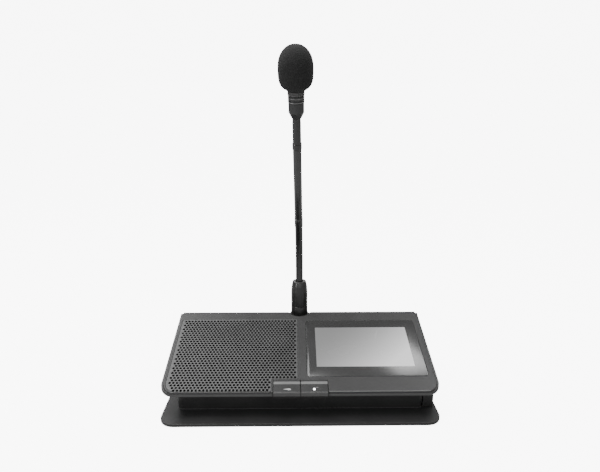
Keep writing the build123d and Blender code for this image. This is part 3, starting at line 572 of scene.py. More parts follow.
def softened(name, node, finish_name, width, cuts=(), lift=None):
    """A welded copy of a CAD node with softened edges. A lift may move its corners first,
    and each cut, a point and a normal, divides its faces along a plane."""
    source = frame["nodes"][node].data
    shape = bmesh.new()
    shape.from_mesh(source)
    bmesh.ops.remove_doubles(shape, verts=shape.verts, dist=2e-6)
    bmesh.ops.dissolve_limit(shape, angle_limit=radians(0.3), verts=shape.verts,
                             edges=shape.edges)
    if lift:
        lift(shape)
    for point, facing in cuts:
        bmesh.ops.bisect_plane(shape, geom=shape.verts[:] + shape.edges[:] + shape.faces[:],
                               plane_co=point, plane_no=facing)
    piece = new_piece(name, mesh_from(shape, name), finish_name)
    bevelled(piece, width, 28, use_clamp_overlap=False, miter_outer="MITER_ARC")
    normals = piece.modifiers.new("even_normals", "WEIGHTED_NORMAL")
    normals.keep_sharp = True
    body = frame["nodes"][node]["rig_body"]
    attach(piece, body)
    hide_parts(node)
    show_count(piece)
    return piece


def refinished(piece, finish_name, chosen):
    """Gives the faces that the test picks, by centre and normal, a second finish."""
    piece.data.materials.append(finishes[finish_name])
    place_number = len(piece.data.materials) - 1
    picked = 0
    for face in piece.data.polygons:
        if chosen(face.center, face.normal):
            face.material_index = place_number
            picked += 1
    print(piece.name, picked, "faces in", finish_name)


# %% [markdown]
# The cover's top is a sheet bent along a ridge, at Y 37.4 and Z 66 mm. From there it falls
# to the front edge, where the user sees it, and more steeply to the back.

# %% The bent top
ridge_y, ridge_z = 37.4, 66.0
front_y, front_z = -65.5, 30.6
ridge = Vector((0, ridge_y, ridge_z)) * mm
slope = atan2(ridge_z - front_z, ridge_y - front_y)
deck_fall = radians(25)


def bent_top(point):
    """The height of the cover's bent top over a point, and its fall there."""
    fall = slope if point.y < ridge.y else deck_fall
    return ridge.z - abs(point.y - ridge.y) * tan(fall), fall


def under_top(point):
    """How far a point lies under the cover's bent top face, square to that face."""
    top, fall = bent_top(point)
    return (top - point.z) * cos(fall)


print("slope", round(degrees(slope), 2), "degrees")

# %% [markdown]
# Most of the housing is one finish to a piece. The cover has more, and all of it is painted
# light: the riser between its raised top and its ledge is painted shade, as is the band of
# the lip just under it, the front edge of the top carries a thin painted highlight, and the
# lip under the ledge is painted lighter than the top, as a lit face.

# %% Cover, base plate and housing
riser_top, riser_foot = 0.45 * mm, 1.2 * mm
riser_side, riser_front, riser_back = 116 * mm, -64 * mm, 70 * mm
line_foot = 0.42 * mm
lip_top, lip_foot, lip_front = 28.6 * mm, 26 * mm, -63 * mm
near_front = -64.5 * mm
cover = softened("top_cover_skin", "top_cover", "cover_grey", 0.4 * mm,
                 cuts=[((0, 0, lip_top), (0, 0, 1))])
# Painted shade: the riser between the raised top and the ledge is made black
refinished(cover, "shade_and_print_black", lambda place, facing: (
    riser_top < under_top(place) < riser_foot and abs(facing.z) < 0.6
    and (abs(place.x) > riser_side or place.y < riser_front or place.y > riser_back)))
# Painted highlight: the front bevel of the raised top is made pale, for the light it catches
refinished(cover, "highlight_and_print_grey", lambda place, facing: (
    under_top(place) < line_foot and place.y < near_front
    and facing.y < -0.5 and facing.z > 0.3))
# Painted light: the lip's front face is made lighter than the top
refinished(cover, "painted_lit_grey", lambda place, facing: (
    lip_foot < place.z < lip_top and place.y < lip_front and facing.y < -0.6))
# Painted shade: the band of the front lip just under the riser is made black
refinished(cover, "shade_and_print_black", lambda place, facing: (
    lip_top < place.z and under_top(place) > riser_foot and place.y < near_front
    and facing.y < -0.3))
softened("base_plate_steel", "base_plate", "plate_black", 0.35 * mm)
softened("lower_housing_shell", "lower_housing", "housing_black", 0.3 * mm)
softened("jack_block_shell", "jack_block", "housing_black", 0.4 * mm)

# %% [markdown]
# The button caps share one shape: a painted highlight runs across near the rear edge, the
# front face is painted lighter as a lit face, and the skirt under it is cut back and painted
# with shade.

# %% Button caps
def down_slope(point):
    """How far down the slope from the ridge a point lies."""
    return (ridge.y - point.y) * cos(slope) + (ridge.z - point.z) * sin(slope)


def cut_back_skirt(shape):
    """Raises the lower front edge of a cap, where its skirt turns under."""
    front = min(v.co.y for v in shape.verts)
    on_front, below, lift = 0.05 * mm, 26.5 * mm, 1.6 * mm
    for vertex in shape.verts:
        if vertex.co.y < front + on_front and vertex.co.z < below:
            vertex.co.z += lift


down_line = Vector((0, -cos(slope), -sin(slope)))
line_rear, line_front = 97.4, 100.4
cap_cuts = [(ridge + down_line * down * mm, down_line) for down in (line_rear, line_front)]
skirt_top = 27.0 * mm
cap_cuts.append(((0, 0, skirt_top), (0, 0, 1)))
for cap_name, cap_node in (("mute_button_cap", "mute_button"),
                           ("speak_button_cap", "speak_button")):
    cap = softened(cap_name, cap_node, "button_grey", 0.35 * mm, cuts=cap_cuts,
                   lift=cut_back_skirt)
    # Painted light: the cap's front face is made lighter, as lit
    refinished(cap, "painted_lit_grey", lambda place, facing: (
        place.z > skirt_top and facing.y < -0.6))
    # Painted shade on the skirt under the cap's front face
    refinished(cap, "shade_and_print_black", lambda place, facing: (
        place.z < skirt_top and facing.y < -0.4))
    # Painted highlight: a pale line across the cap near its rear edge
    refinished(cap, "highlight_and_print_grey", lambda place, facing: (
        line_rear * mm < down_slope(place) < line_front * mm and facing.z > 0.85))

# %% [markdown]
# The rear panel and the network sockets have rectangular openings. A face with a hole in it
# is a poor mesh, so both are built from a grid of rectangles that leaves the openings out.

# %% Rear panel and network sockets
def pierced_block(name, columns, rows, open_cells, back, depth, finish_name, pocket=0.0):
    """A block behind a grid of cells, given by X and Z lines; open cells are holes, or
    pockets of their own depth. Its face looks to the back of the unit."""
    shape = bmesh.new()
    grid = [[shape.verts.new((x, back, z)) for x in columns] for z in rows]
    cells = {}
    for r in range(len(rows) - 1):
        for c in range(len(columns) - 1):
            if pocket or (c, r) not in open_cells:
                cells[c, r] = shape.faces.new(
                    (grid[r][c], grid[r][c + 1], grid[r + 1][c + 1], grid[r + 1][c]))
    raised = bmesh.ops.extrude_face_region(shape, geom=list(cells.values()))
    moved = [v for v in raised["geom"] if isinstance(v, bmesh.types.BMVert)]
    bmesh.ops.translate(shape, verts=moved, vec=(0, -depth, 0))
    if pocket:
        for cell in open_cells:
            face = cells[cell]
            sunk = bmesh.ops.extrude_discrete_faces(shape, faces=[face])["faces"][0]
            bmesh.ops.translate(shape, verts=sunk.verts, vec=(0, -pocket, 0))
    bmesh.ops.recalc_face_normals(shape, faces=shape.faces)
    piece = new_piece(name, mesh_from(shape, name), finish_name)
    bevelled(piece, 0.25 * mm, 40)
    show_count(piece)
    return piece


panel_low, panel_high = [Vector(corner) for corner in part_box("rear_panel")]
jacks_low, jacks_high = [Vector(corner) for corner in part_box("network_jacks")]
jack_middles = (30 * mm, 50 * mm)
jack_half, jack_slot, mouth_half = 8.0 * mm, 8.2 * mm, 5.9 * mm
panel_gap = 0.2 * mm
panel_columns = [panel_low.x, jack_middles[0] - jack_slot, jack_middles[0] + jack_slot,
                 jack_middles[1] - jack_slot, jack_middles[1] + jack_slot, panel_high.x]
panel_rows = [panel_low.z, jacks_low.z - panel_gap, jacks_high.z + panel_gap, panel_high.z]
panel = pierced_block("rear_panel_plate", panel_columns, panel_rows, {(1, 1), (3, 1)},
                      panel_high.y, panel_high.y - panel_low.y, "housing_black")
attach(panel, "base")
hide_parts("rear_panel")
jack_rows = [jacks_low.z, jacks_low.z + 3.4 * mm, jacks_low.z + 12.0 * mm, jacks_high.z]
for number, middle in enumerate(jack_middles):
    jack = pierced_block(
        f"network_jack_{number + 1}",
        [middle - jack_half, middle - mouth_half, middle + mouth_half, middle + jack_half],
        jack_rows, {(1, 1)}, jacks_high.y, jacks_high.y - jacks_low.y, "socket_black",
        pocket=12.6 * mm)
    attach(jack, "base")
    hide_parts("network_jacks")

# %% [markdown]
# The slope carries most of what the user sees. One matrix turns a place on it, given as X,
# minus the distance down from the ridge, and the height out of its face, into a point in
# space. Flat pieces are outlines in that frame, and their corners are rounded by arcs.

# %% Flat pieces on the slope
slope_frame = Matrix.Translation(ridge) @ Matrix.Rotation(slope, 4, "X")


def flat_shape(name, outline, low, high, finish_name, width=0.0):
    """A flat piece on the slope: an outline in (X, distance down) between two heights."""
    shape = bmesh.new()
    corners = [shape.verts.new((x, -down, low)) for x, down in outline]
    base = shape.faces.new(corners)
    raised = bmesh.ops.extrude_face_region(shape, geom=[base])
    moved = [v for v in raised["geom"] if isinstance(v, bmesh.types.BMVert)]
    bmesh.ops.translate(shape, verts=moved, vec=(0, 0, high - low))
    bmesh.ops.recalc_face_normals(shape, faces=shape.faces)
    if width:
        edges = [e for e in shape.edges if abs(e.verts[0].co.z - e.verts[1].co.z) < 1e-7]
        bmesh.ops.bevel(shape, geom=edges, offset=width, segments=2, affect="EDGES",
                        profile=0.5)
    shape.transform(slope_frame)
    mesh = mesh_from(shape, name)
    smooth_up_to(mesh, 50)
    piece = new_piece(name, mesh, finish_name)
    show_count(piece)
    return piece


def rounded_corners(points, radii, steps=6):
    """An outline whose corners are replaced by arcs, one radius for each corner."""
    result = []
    for index, (corner, radius) in enumerate(zip(points, radii)):
        here = Vector(corner)
        before = (Vector(points[index - 1]) - here).normalized()
        after = (Vector(points[(index + 1) % len(points)]) - here).normalized()
        if radius == 0:
            result.append(tuple(here))
            continue
        half = before.angle(after) / 2
        middle = here + (before + after).normalized() * radius / sin(half)
        first = here + before * radius / tan(half) - middle
        last = here + after * radius / tan(half) - middle
        turn = first.angle_signed(last)
        for step in range(steps + 1):
            swing = -turn * step / steps
            c, s = cos(swing), sin(swing)
            result.append((middle.x + first.x * c - first.y * s,
                           middle.y + first.x * s + first.y * c))
    return result


# %% [markdown]
# The raised middle of the cover stands on a lower ledge. On the real unit the corner between
# the two is a narrow line in shade, so a thin black liner of painted shade is laid in it, all
# the way round. A paler strip of the same make is a painted highlight along the line where
# the housing meets the plate.

# %% Painted shade liner of the cover's step and painted highlight line at the housing's foot
def step_outline(half, front, back, front_radius, back_radius):
    """The raised top's outline in plan, with a point on each side at the ridge."""
    corners = [(-half, front), (half, front), (half, ridge_y), (half, back), (-half, back),
               (-half, ridge_y)]
    radii = [front_radius, front_radius, 0, back_radius, back_radius, 0]
    return [Vector((x, y)) * mm for x, y in rounded_corners(corners, radii, 10)]


def closed_strip(name, inner, outer, height, low, high, finish_name):
    """A closed strip between two outlines in plan, at a height that a function gives."""
    shape = bmesh.new()
    loops = [[shape.verts.new((plan.x, plan.y, height(plan) + rise * mm)) for plan in outline]
             for outline, rise in ((inner, low), (outer, low), (outer, high), (inner, high))]
    for first, second in zip(loops, loops[1:] + loops[:1]):
        bridge(shape, first, second)
    bmesh.ops.recalc_face_normals(shape, faces=shape.faces)
    piece = new_piece(name, mesh_from(shape, name), finish_name)
    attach(piece, "base")
    show_count(piece)


def ledge_height(plan):
    """The height of the cover's ledge, a step below its bent top."""
    step_depth = 1.3 * mm
    top, fall = bent_top(plan)
    return top - step_depth / cos(fall)


# Painted shade: a black liner in the corner of the step
closed_strip("cover_step_liner", step_outline(126.95, -65.05, 71.55, 10.0, 2.0),
             step_outline(127.75, -65.3, 71.8, 10.8, 2.6), ledge_height, -0.05, 0.04,
             "shade_and_print_black")


def foot_outline(grow):
    """The housing's outline in plan where it stands on the plate, moved out a little."""
    half, front, back, radius = 117 + grow, -51 - grow, 67.9, 5 + grow
    corners = [(-half, front), (half, front), (half, back), (-half, back)]
    return [Vector(plan) * mm for plan in rounded_corners(corners, [radius, radius, 0, 0])]


plate_face = 4.4 * mm
# Painted highlight: a pale strip along the housing's foot on the plate
closed_strip("housing_foot_line", foot_outline(-0.5), foot_outline(0.3),
             lambda plan: plate_face, 0.0, 0.55, "foot_highlight_grey")

# %% [markdown]
# The grille is a thin steel sheet with more than a thousand round holes in staggered rows.
# Geometry Nodes lay out the grid, keep the holes that lie inside the sheet's outline and
# clear of its edge, cut them by filling the curves together, and give the sheet thickness.

# %% Perforated sheet as a node tree
def perforated_tree():
    """Outline in, perforated sheet out."""
    tree, start, end = node_group("perforated_sheet", "GeometryNodeTree", [
        ("Geometry", "Geometry"), ("Pitch", "Float", 3.43), ("Row Step", "Float", 2.96),
        ("Hole Radius", "Float", 1.3), ("Thickness", "Float", 1.2), ("Columns", "Int", 36),
        ("Rows", "Int", 32), ("First Hole", "Vector"), ("Field", "Object"),
        ("Turn", "Vector"), ("Place", "Vector"), ("Material", "Material"),
        ("Wall Material", "Material"),
    ], [("Geometry", "Geometry")])

    def maths(operation, first, second=0.0):
        return tree_node(tree, "ShaderNodeMath", {0: first, 1: second},
                         operation=operation).outputs[0]

    # A grid of points from the first hole, with every second row moved half a pitch
    wide = maths("SUBTRACT", start["Columns"], 1.0)
    deep = maths("SUBTRACT", start["Rows"], 1.0)
    grid = tree_node(tree, "GeometryNodeMeshGrid", {
        "Size X": wide, "Size Y": deep, "Vertices X": start["Columns"],
        "Vertices Y": start["Rows"],
    })
    place = tree.nodes.new("GeometryNodeInputPosition").outputs[0]
    split = tree_node(tree, "ShaderNodeSeparateXYZ", {0: place})
    column = maths("ADD", split.outputs["X"], maths("MULTIPLY", wide, 0.5))
    row = maths("ROUND", maths("SUBTRACT", maths("MULTIPLY", deep, 0.5), split.outputs["Y"]))
    shift = maths("MULTIPLY", maths("FLOORED_MODULO", row, 2.0), 0.5)
    across_row = maths("MULTIPLY", maths("ADD", column, shift), start["Pitch"])
    down_row = maths("MULTIPLY", row, maths("MULTIPLY", start["Row Step"], -1.0))
    spread = tree_node(tree, "ShaderNodeCombineXYZ", {"X": across_row, "Y": down_row})
    placed = tree_node(tree, "ShaderNodeVectorMath",
                       {0: spread.outputs[0], 1: start["First Hole"]}, operation="ADD")
    points = tree_node(tree, "GeometryNodeSetPosition",
                       {"Geometry": grid.outputs["Mesh"], "Position": placed.outputs[0]})
    # Only the points inside the field's own outline keep their hole
    outline = tree_node(tree, "GeometryNodeMeshToCurve", {"Mesh": start["Geometry"]})
    field = tree_node(tree, "GeometryNodeObjectInfo", {"Object": start["Field"]})
    field_loop = tree_node(tree, "GeometryNodeMeshToCurve",
                           {"Mesh": field.outputs["Geometry"]})
    face = tree_node(tree, "GeometryNodeFillCurve", {"Curve": field_loop.outputs[0]})
    above = tree_node(tree, "ShaderNodeVectorMath", {0: place, 1: (0, 0, 5)},
                      operation="ADD")
    inside = tree_node(tree, "GeometryNodeRaycast", {
        "Target Geometry": face.outputs[0],
        "Source Position": above.outputs[0],
        "Ray Direction": (0, 0, -1),
        "Ray Length": 20.0,
    })
    outside = tree_node(tree, "FunctionNodeBooleanMath", {0: inside.outputs["Is Hit"]},
                        operation="NOT")
    holes = tree_node(tree, "GeometryNodeDeleteGeometry",
                      {"Geometry": points.outputs[0], "Selection": outside.outputs[0]})
    circle = tree_node(tree, "GeometryNodeCurvePrimitiveCircle",
                       {"Resolution": 10, "Radius": start["Hole Radius"]})
    rings = tree_node(tree, "GeometryNodeInstanceOnPoints",
                      {"Points": holes.outputs[0], "Instance": circle.outputs[0]})
    loops = tree_node(tree, "GeometryNodeJoinGeometry")
    real_rings = tree_node(tree, "GeometryNodeRealizeInstances", {0: rings.outputs[0]})
    join(tree, real_rings.outputs[0], loops.inputs[0])
    join(tree, outline.outputs[0], loops.inputs[0])
    sheet = tree_node(tree, "GeometryNodeFillCurve", {"Curve": loops.outputs[0]})
    up = tree_node(tree, "ShaderNodeCombineXYZ", {"Z": start["Thickness"]})
    raised = tree_node(tree, "GeometryNodeExtrudeMesh", {
        "Mesh": sheet.outputs[0],
        "Offset": up.outputs[0],
        "Offset Scale": 1.0,
        "Individual": False,
    })
    under = tree_node(tree, "GeometryNodeFlipFaces", {0: sheet.outputs[0]})
    both = tree_node(tree, "GeometryNodeJoinGeometry")
    join(tree, raised.outputs["Mesh"], both.inputs[0])
    join(tree, under.outputs[0], both.inputs[0])
    welded = tree_node(tree, "GeometryNodeMergeByDistance",
                       {"Geometry": both.outputs[0], "Distance": 0.001})
    # The loops are in millimetres, which keeps the fill exact; the sheet is put in metres
    put = tree_node(tree, "GeometryNodeTransform", {
        "Geometry": welded.outputs[0], "Translation": start["Place"],
        "Rotation": start["Turn"], "Scale": (mm, mm, mm),
    })
    real = tree_node(tree, "GeometryNodeRealizeInstances", {0: put.outputs[0]})
    faced = tree_node(tree, "GeometryNodeSetMaterial",
                      {"Geometry": real.outputs[0], "Material": start["Material"]})
    # The side walls of the holes take the wall finish: painted shade inside the holes
    finished = tree_node(tree, "GeometryNodeSetMaterial", {
        "Geometry": faced.outputs[0], "Selection": raised.outputs["Side"],
        "Material": start["Wall Material"],
    })
    join(tree, finished.outputs[0], end.inputs[0])
    return tree


# %% [markdown]
# A node tree gets its values through the modifier, by the identifier that its interface
# gives each named input. The result is made a plain mesh at once.

# %% Pieces made by node trees
def nodes_piece(name, mesh, tree, finish_name, **values):
    """An object whose mesh goes through a node tree and comes out as a plain mesh."""
    piece = new_piece(name, mesh, finish_name)
    modifier = piece.modifiers.new("made_by_nodes", "NODES")
    modifier.node_group = tree
    sockets = {s.name: s.identifier for s in tree.interface.items_tree
               if s.item_type == "SOCKET" and s.in_out == "INPUT"}
    modifier[sockets["Material"]] = finishes[finish_name]
    for label, value in values.items():
        modifier[sockets[label.replace("_", " ")]] = value
    plain_mesh(piece)
    show_count(piece)
    return piece


# %% [markdown]
# The outline is the sheet's own: rounded corners, a larger one at the front left, and a
# notch for the buttons. The node tree gets it as a closed loop of edges, and a second loop,
# the field, says where the middle of a hole may lie. Both are in millimetres.

# %% Speaker grille and dust cloth
grille_left, grille_right = -125.2, -2.6
grille_top, grille_front = 11.9, 107.6
notch_x, notch_top = -27.25, 93.3
grille_corners = [
    (grille_left, grille_top),
    (grille_right, grille_top),
    (grille_right, notch_top),
    (notch_x, notch_top),
    (notch_x, grille_front),
    (grille_left, grille_front),
]
grille_radii = [2.5, 2.5, 1.0, 1.0, 1.0, 10.2]
field_corners = [
    (-122.7, 13.4), (-4.2, 13.4), (-4.2, 92.8), (-28.1, 92.8), (-28.1, 107.2), (-122.7, 107.2),
]
field_radii = [0, 0, 0, 0, 0, 9.6]
sheet_thickness = 1.2


def edge_loop(name, outline):
    """A closed loop of edges in the slope's own plane, X and minus the distance down."""
    mesh = bpy.data.meshes.new(name)
    points = [(x, -down, 0) for x, down in outline]
    edges = [(i, (i + 1) % len(points)) for i in range(len(points))]
    mesh.from_pydata(points, edges, [])
    return mesh


grille_outline = rounded_corners(grille_corners, grille_radii)
field_outline = rounded_corners(field_corners, field_radii)
field_guide = placed_object("field_guide", edge_loop("field_edge", field_outline))
grille = nodes_piece(
    "speaker_grille_sheet", edge_loop("grille_edge", grille_outline), perforated_tree(),
    "grille_grey", Pitch=3.43, Row_Step=2.96, Hole_Radius=1.3, Columns=36, Rows=32,
    Thickness=sheet_thickness, First_Hole=(-121.715, -14.54, 0), Field=field_guide,
    Turn=(slope, 0, 0), Place=slope_frame @ Vector((0, 0, -sheet_thickness * mm)),
    # The hole walls are painted shade
    Wall_Material=finishes["shade_and_print_black"],
)
bpy.data.objects.remove(field_guide)
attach(grille, "base")
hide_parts("speaker_grille")

cloth_share = 0.998
cloth_low, cloth_high = -1.5 * mm, -1.22 * mm
cloth_outline = [(x * cloth_share * mm, down * mm) for x, down in grille_outline]
cloth = flat_shape("dust_cloth_sheet", cloth_outline, cloth_low, cloth_high, "dust_cloth")
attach(cloth, "base")
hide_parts("grille_cloth")

# %% [markdown]
# The touch glass is one sheet whose back is printed black around the lit screen. What is
# seen is a dark glossy sheet with an almost sharp edge, and a thin lit page on its face.

# %% Touch glass and lit page
glass_box = (6.5 * mm, 121.8 * mm, 14.3 * mm, 90.8 * mm)
glass_radius, glass_depth, glass_edge = 2.85 * mm, 1.4 * mm, 0.08 * mm
screen_box = (16.0 * mm, 111.04 * mm, 24.9 * mm, 78.76 * mm)


def box_corners(left, right, top, bottom):
    """The four corners of a rectangle on the slope."""
    return [(left, top), (right, top), (right, bottom), (left, bottom)]


glass_outline = rounded_corners(box_corners(*glass_box), [glass_radius] * 4)
border = flat_shape("glass_border_sheet", glass_outline, -glass_depth, 0, "glass_border",
                    glass_edge)
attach(border, "base")
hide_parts("touch_glass")
screen_outline = box_corners(*screen_box)
screen = flat_shape("lit_screen_page", screen_outline, -0.1 * mm, 0.02 * mm, "lit_screen")
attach(screen, "base")

# %% [markdown]
# Inside each network socket a row of eight sprung contacts slopes down from the roof. One
# bent wire is repeated along a line of points, and the whole row is one mesh.

# %% Socket contacts as a node tree
def contact_tree():
    """A row of bent wires: eight to a socket, side by side."""
    tree, start, end = node_group("contact_row", "GeometryNodeTree", [
        ("Geometry", "Geometry"), ("Count", "Int", 8), ("Pitch", "Float", 1.02 * mm),
        ("Wire Radius", "Float", 0.24 * mm), ("First Wire", "Vector"),
        ("Material", "Material"),
    ], [("Geometry", "Geometry")])
    step = tree_node(tree, "ShaderNodeCombineXYZ", {"X": start["Pitch"]})
    line = tree_node(tree, "GeometryNodeMeshLine", {
        "Count": start["Count"], "Start Location": start["First Wire"],
        "Offset": step.outputs[0],
    })
    bend = tree_node(tree, "GeometryNodeCurveQuadraticBezier", {
        "Resolution": 8, "Start": (0, 0, 0), "Middle": (0, 2.5 * mm, -0.4 * mm),
        "End": (0, 8.0 * mm, -4.6 * mm),
    })
    section = tree_node(tree, "GeometryNodeCurvePrimitiveCircle",
                        {"Resolution": 6, "Radius": start["Wire Radius"]})
    wire = tree_node(tree, "GeometryNodeCurveToMesh", {
        "Curve": bend.outputs[0], "Profile Curve": section.outputs[0], "Fill Caps": True,
    })
    placed = tree_node(tree, "GeometryNodeInstanceOnPoints",
                       {"Points": line.outputs[0], "Instance": wire.outputs[0]})
    real = tree_node(tree, "GeometryNodeRealizeInstances", {0: placed.outputs[0]})
    finished = tree_node(tree, "GeometryNodeSetMaterial",
                         {"Geometry": real.outputs[0], "Material": start["Material"]})
    join(tree, finished.outputs[0], end.inputs[0])
    return tree


contact_row = contact_tree()
row_half, row_depth, row_rise = 3.57 * mm, 11.0 * mm, 11.2 * mm
for number, middle in enumerate(jack_middles):
    first_wire = (middle - row_half, jacks_high.y - row_depth, jacks_low.z + row_rise)
    contacts = nodes_piece(f"jack_contacts_{number + 1}", bpy.data.meshes.new("contact_wire"),
                           contact_row, "contact_gold", Count=8, First_Wire=first_wire)
    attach(contacts, "base")

# %% [markdown]
# The neck and the head are turned pieces. Each is a profile of radius and height, spun
# about the neck's own axis. The axis leans forward as it rises, and a little to the left
# in the photograph, so every piece gets the frame of its own length of neck.

# %% Turned pieces on the neck
neck_yaw = radians(2.8)
ahead = Vector((-sin(neck_yaw), -cos(neck_yaw), 0))
across = Vector((cos(neck_yaw), -sin(neck_yaw), 0))


def neck_frame(origin, lean):
    """A frame across the neck at a point, leaning forward."""
    up = ahead * sin(lean) + Vector((0, 0, cos(lean)))
    side = up.cross(across)
    turn = Matrix((across, side, up)).transposed().to_4x4()
    return Matrix.Translation(origin) @ turn


def turned(name, profile, place, finish_name, sides=64, sharp=40):
    """A closed turned piece: a profile of (radius, height) spun about the frame's Z."""
    shape = bmesh.new()
    rings = []
    for radius, height in profile:
        if radius < 1e-7:
            rings.append([shape.verts.new((0, 0, height))])
            continue
        turns = [2 * pi * i / sides for i in range(sides)]
        rings.append([shape.verts.new((radius * cos(turn), radius * sin(turn), height))
                      for turn in turns])
    for low, high in zip(rings, rings[1:] + rings[:1]):
        if len(low) + len(high) > 2:
            bridge(shape, low, high)
    bmesh.ops.recalc_face_normals(shape, faces=shape.faces)
    shape.transform(place)
    mesh = mesh_from(shape, name)
    smooth_up_to(mesh, sharp)
    piece = new_piece(name, mesh, finish_name)
    show_count(piece)
    return piece


def bored_ring(inner, outer, low, high, ease):
    """The closed profile of a ring with eased outer edges."""
    points = [(inner, low), (outer, low), (outer, high), (inner, high)]
    return rounded_corners(points, [0, ease, ease, 0], 4)


def solid_round(outer, low, high, ease):
    """The closed profile of a solid round with eased edges."""
    points = [(0, low), (outer, low), (outer, high), (0, high)]
    return rounded_corners(points, [0, ease, ease, 0], 4)


neck_y = 45.0
neck_seat = ridge_z * mm - (neck_y - ridge_y) * mm * tan(deck_fall)
seat_frame = neck_frame(Vector((0, neck_y * mm, neck_seat)), 0)
lock_ring = turned("lock_ring_turned",
                   bored_ring(7.45 * mm, 9.05 * mm, 0.15 * mm, 9.05 * mm, 0.35 * mm),
                   seat_frame, "sleeve_black")
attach(lock_ring, "lock_ring")
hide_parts("lock_ring")

sleeve_points = [
    (0, -15.0), (5.6, -15.0), (5.6, 9.2), (9.05, 9.2), (9.05, 25.0), (8.55, 31.4),
    (7.3, 37.3), (4.15, 37.3), (4.15, 31.0), (0, 31.0),
]
sleeve_radii = [0, 0.3, 0, 0.35, 8.0, 9.0, 0.7, 0.2, 0, 0]
sleeve = turned(
    "neck_sleeve_turned",
    rounded_corners([(r * mm, h * mm) for r, h in sleeve_points],
                    [r * mm for r in sleeve_radii], 6),
    seat_frame, "sleeve_black")
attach(sleeve, "base")
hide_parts("neck_sleeve")

# %% [markdown]
# The bendable lengths are steel gooseneck under a smooth black skin. The CAD model gives
# each a few hinges, and the skin is one tube between the middles of neighbouring sections.

# %% Bendable skin
def gooseneck_skin(name, start, hinge, end, nodes, lead=0.0):
    """A tube from one section's middle to the next, around one hinge of the neck. It may
    begin earlier, by a straight lead."""
    radius, sides, steps = 3.95 * mm, 40, 18
    rings = []
    shape = bmesh.new()
    first = (hinge - start).normalized()
    path = [start - first * lead] if lead else []
    for step in range(steps + 1):
        t = step / steps
        path.append(start * (1 - t) ** 2 + hinge * 2 * t * (1 - t) + end * t * t)
    for index, point in enumerate(path):
        before = path[max(index - 1, 0)]
        after = path[min(index + 1, len(path) - 1)]
        up = (after - before).normalized()
        if index == len(path) - 1:
            up = (end - hinge).normalized()
        if index == 0:
            up = first
        side = up.cross(across).normalized()
        flat = side.cross(up)
        turns = [2 * pi * i / sides for i in range(sides)]
        rings.append([shape.verts.new(point + flat * radius * cos(turn)
                                      + side * radius * sin(turn)) for turn in turns])
    for low, high in zip(rings, rings[1:]):
        bridge(shape, low, high)
    shape.faces.new(rings[0][::-1])
    shape.faces.new(rings[-1])
    bmesh.ops.recalc_face_normals(shape, faces=shape.faces)
    mesh = mesh_from(shape, name)
    smooth_up_to(mesh, 60)
    skin = new_piece(name, mesh, "neck_black")
    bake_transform(skin)
    if nodes:
        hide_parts(*nodes)
    show_count(skin)


hinge_names = ("lower_pitch_1", "lower_side_1", "lower_pitch_2", "lower_side_2",
               "upper_pitch", "upper_side")
hinges = [joint_at[name] for name in hinge_names]
lower_lean = radians(25.3)
head_lean = radians(21.3)
stem_up = ahead * sin(lower_lean) + Vector((0, 0, cos(lower_lean)))
head_up = ahead * sin(head_lean) + Vector((0, 0, cos(head_lean)))
lower_length, upper_length = 66.9 * mm, 20.8 * mm
lower_half = lower_length / 8
upper_half = upper_length / 4
skin_nodes = ("neck_root", "lower_link_1", "lower_link_2", "lower_link_3")
middles = [hinges[0] - Vector((0, 0, lower_half))]
middles += [(hinges[i] + hinges[i + 1]) / 2 for i in range(3)]
middles += [hinges[3] + stem_up * lower_half]
upper_start = hinges[4] - stem_up * upper_half
upper_middle = (hinges[4] + hinges[5]) / 2
upper_end = hinges[5] + head_up * upper_half
for index, skin_node in enumerate(skin_nodes):
    gooseneck_skin(f"lower_neck_skin_{index + 1}", middles[index], hinges[index],
                   middles[index + 1], (skin_node,),
                   lead=0.0 if index else 4 * mm)
gooseneck_skin("upper_neck_skin_1", upper_start, hinges[4], upper_middle,
               ())
gooseneck_skin("upper_neck_skin_2", upper_middle, hinges[5], upper_end,
               ("upper_link",))

# %% [markdown]
# Between the two bendable lengths stands a rigid tube with a collar at each end.

# %% Rigid stem
stem_frame = neck_frame(hinges[3], lower_lean)
collar_low = lower_half
collar_high = collar_low + 11 * mm
tube_high = collar_high + 79 * mm
upper_high = tube_high + 6 * mm
# The tube's ends are tucked a little way into the collars
tuck = 0.5 * mm
lower_collar = turned("lower_collar_turned",
                      solid_round(4.3 * mm, collar_low, collar_high, 0.4 * mm),
                      stem_frame, "stem_grey")
stem_tube = turned("stem_tube_turned",
                   solid_round(4.05 * mm, collar_high - tuck, tube_high + tuck, 0.1 * mm),
                   stem_frame, "stem_grey")
upper_collar = turned("upper_collar_turned",
                      solid_round(4.45 * mm, tube_high, upper_high, 0.4 * mm),
                      stem_frame, "neck_black")
for piece, node_name in ((lower_collar, "lower_collar"), (stem_tube, "stem_tube"),
                         (upper_collar, "upper_collar")):
    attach(piece, "stem")
    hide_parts(node_name)

# %% [markdown]
# The microphone head: a cup with flats cut on its taper, a collar with two thin steel
# rings, and the cloudy light ring that the foam stands on.

# %% Microphone head
head_frame = neck_frame(hinges[5], head_lean)
head_base = upper_half


def head_heights(points):
    """Profile points given from the end of the bendable length, in millimetres."""
    return [(r * mm, head_base + h * mm) for r, h in points]


cup_points = [(0, -1.0), (3.85, -1.0), (3.85, 3.1), (3.95, 3.2)]
cup_points += [(7.0, 3.2 + 0.35 * step) for step in range(1, 25)]
cup_points += [(7.0, 17.8), (6.8, 18.0), (0, 18.0)]
cup = turned("mic_cup_turned", head_heights(cup_points), head_frame, "neck_black", sharp=18)
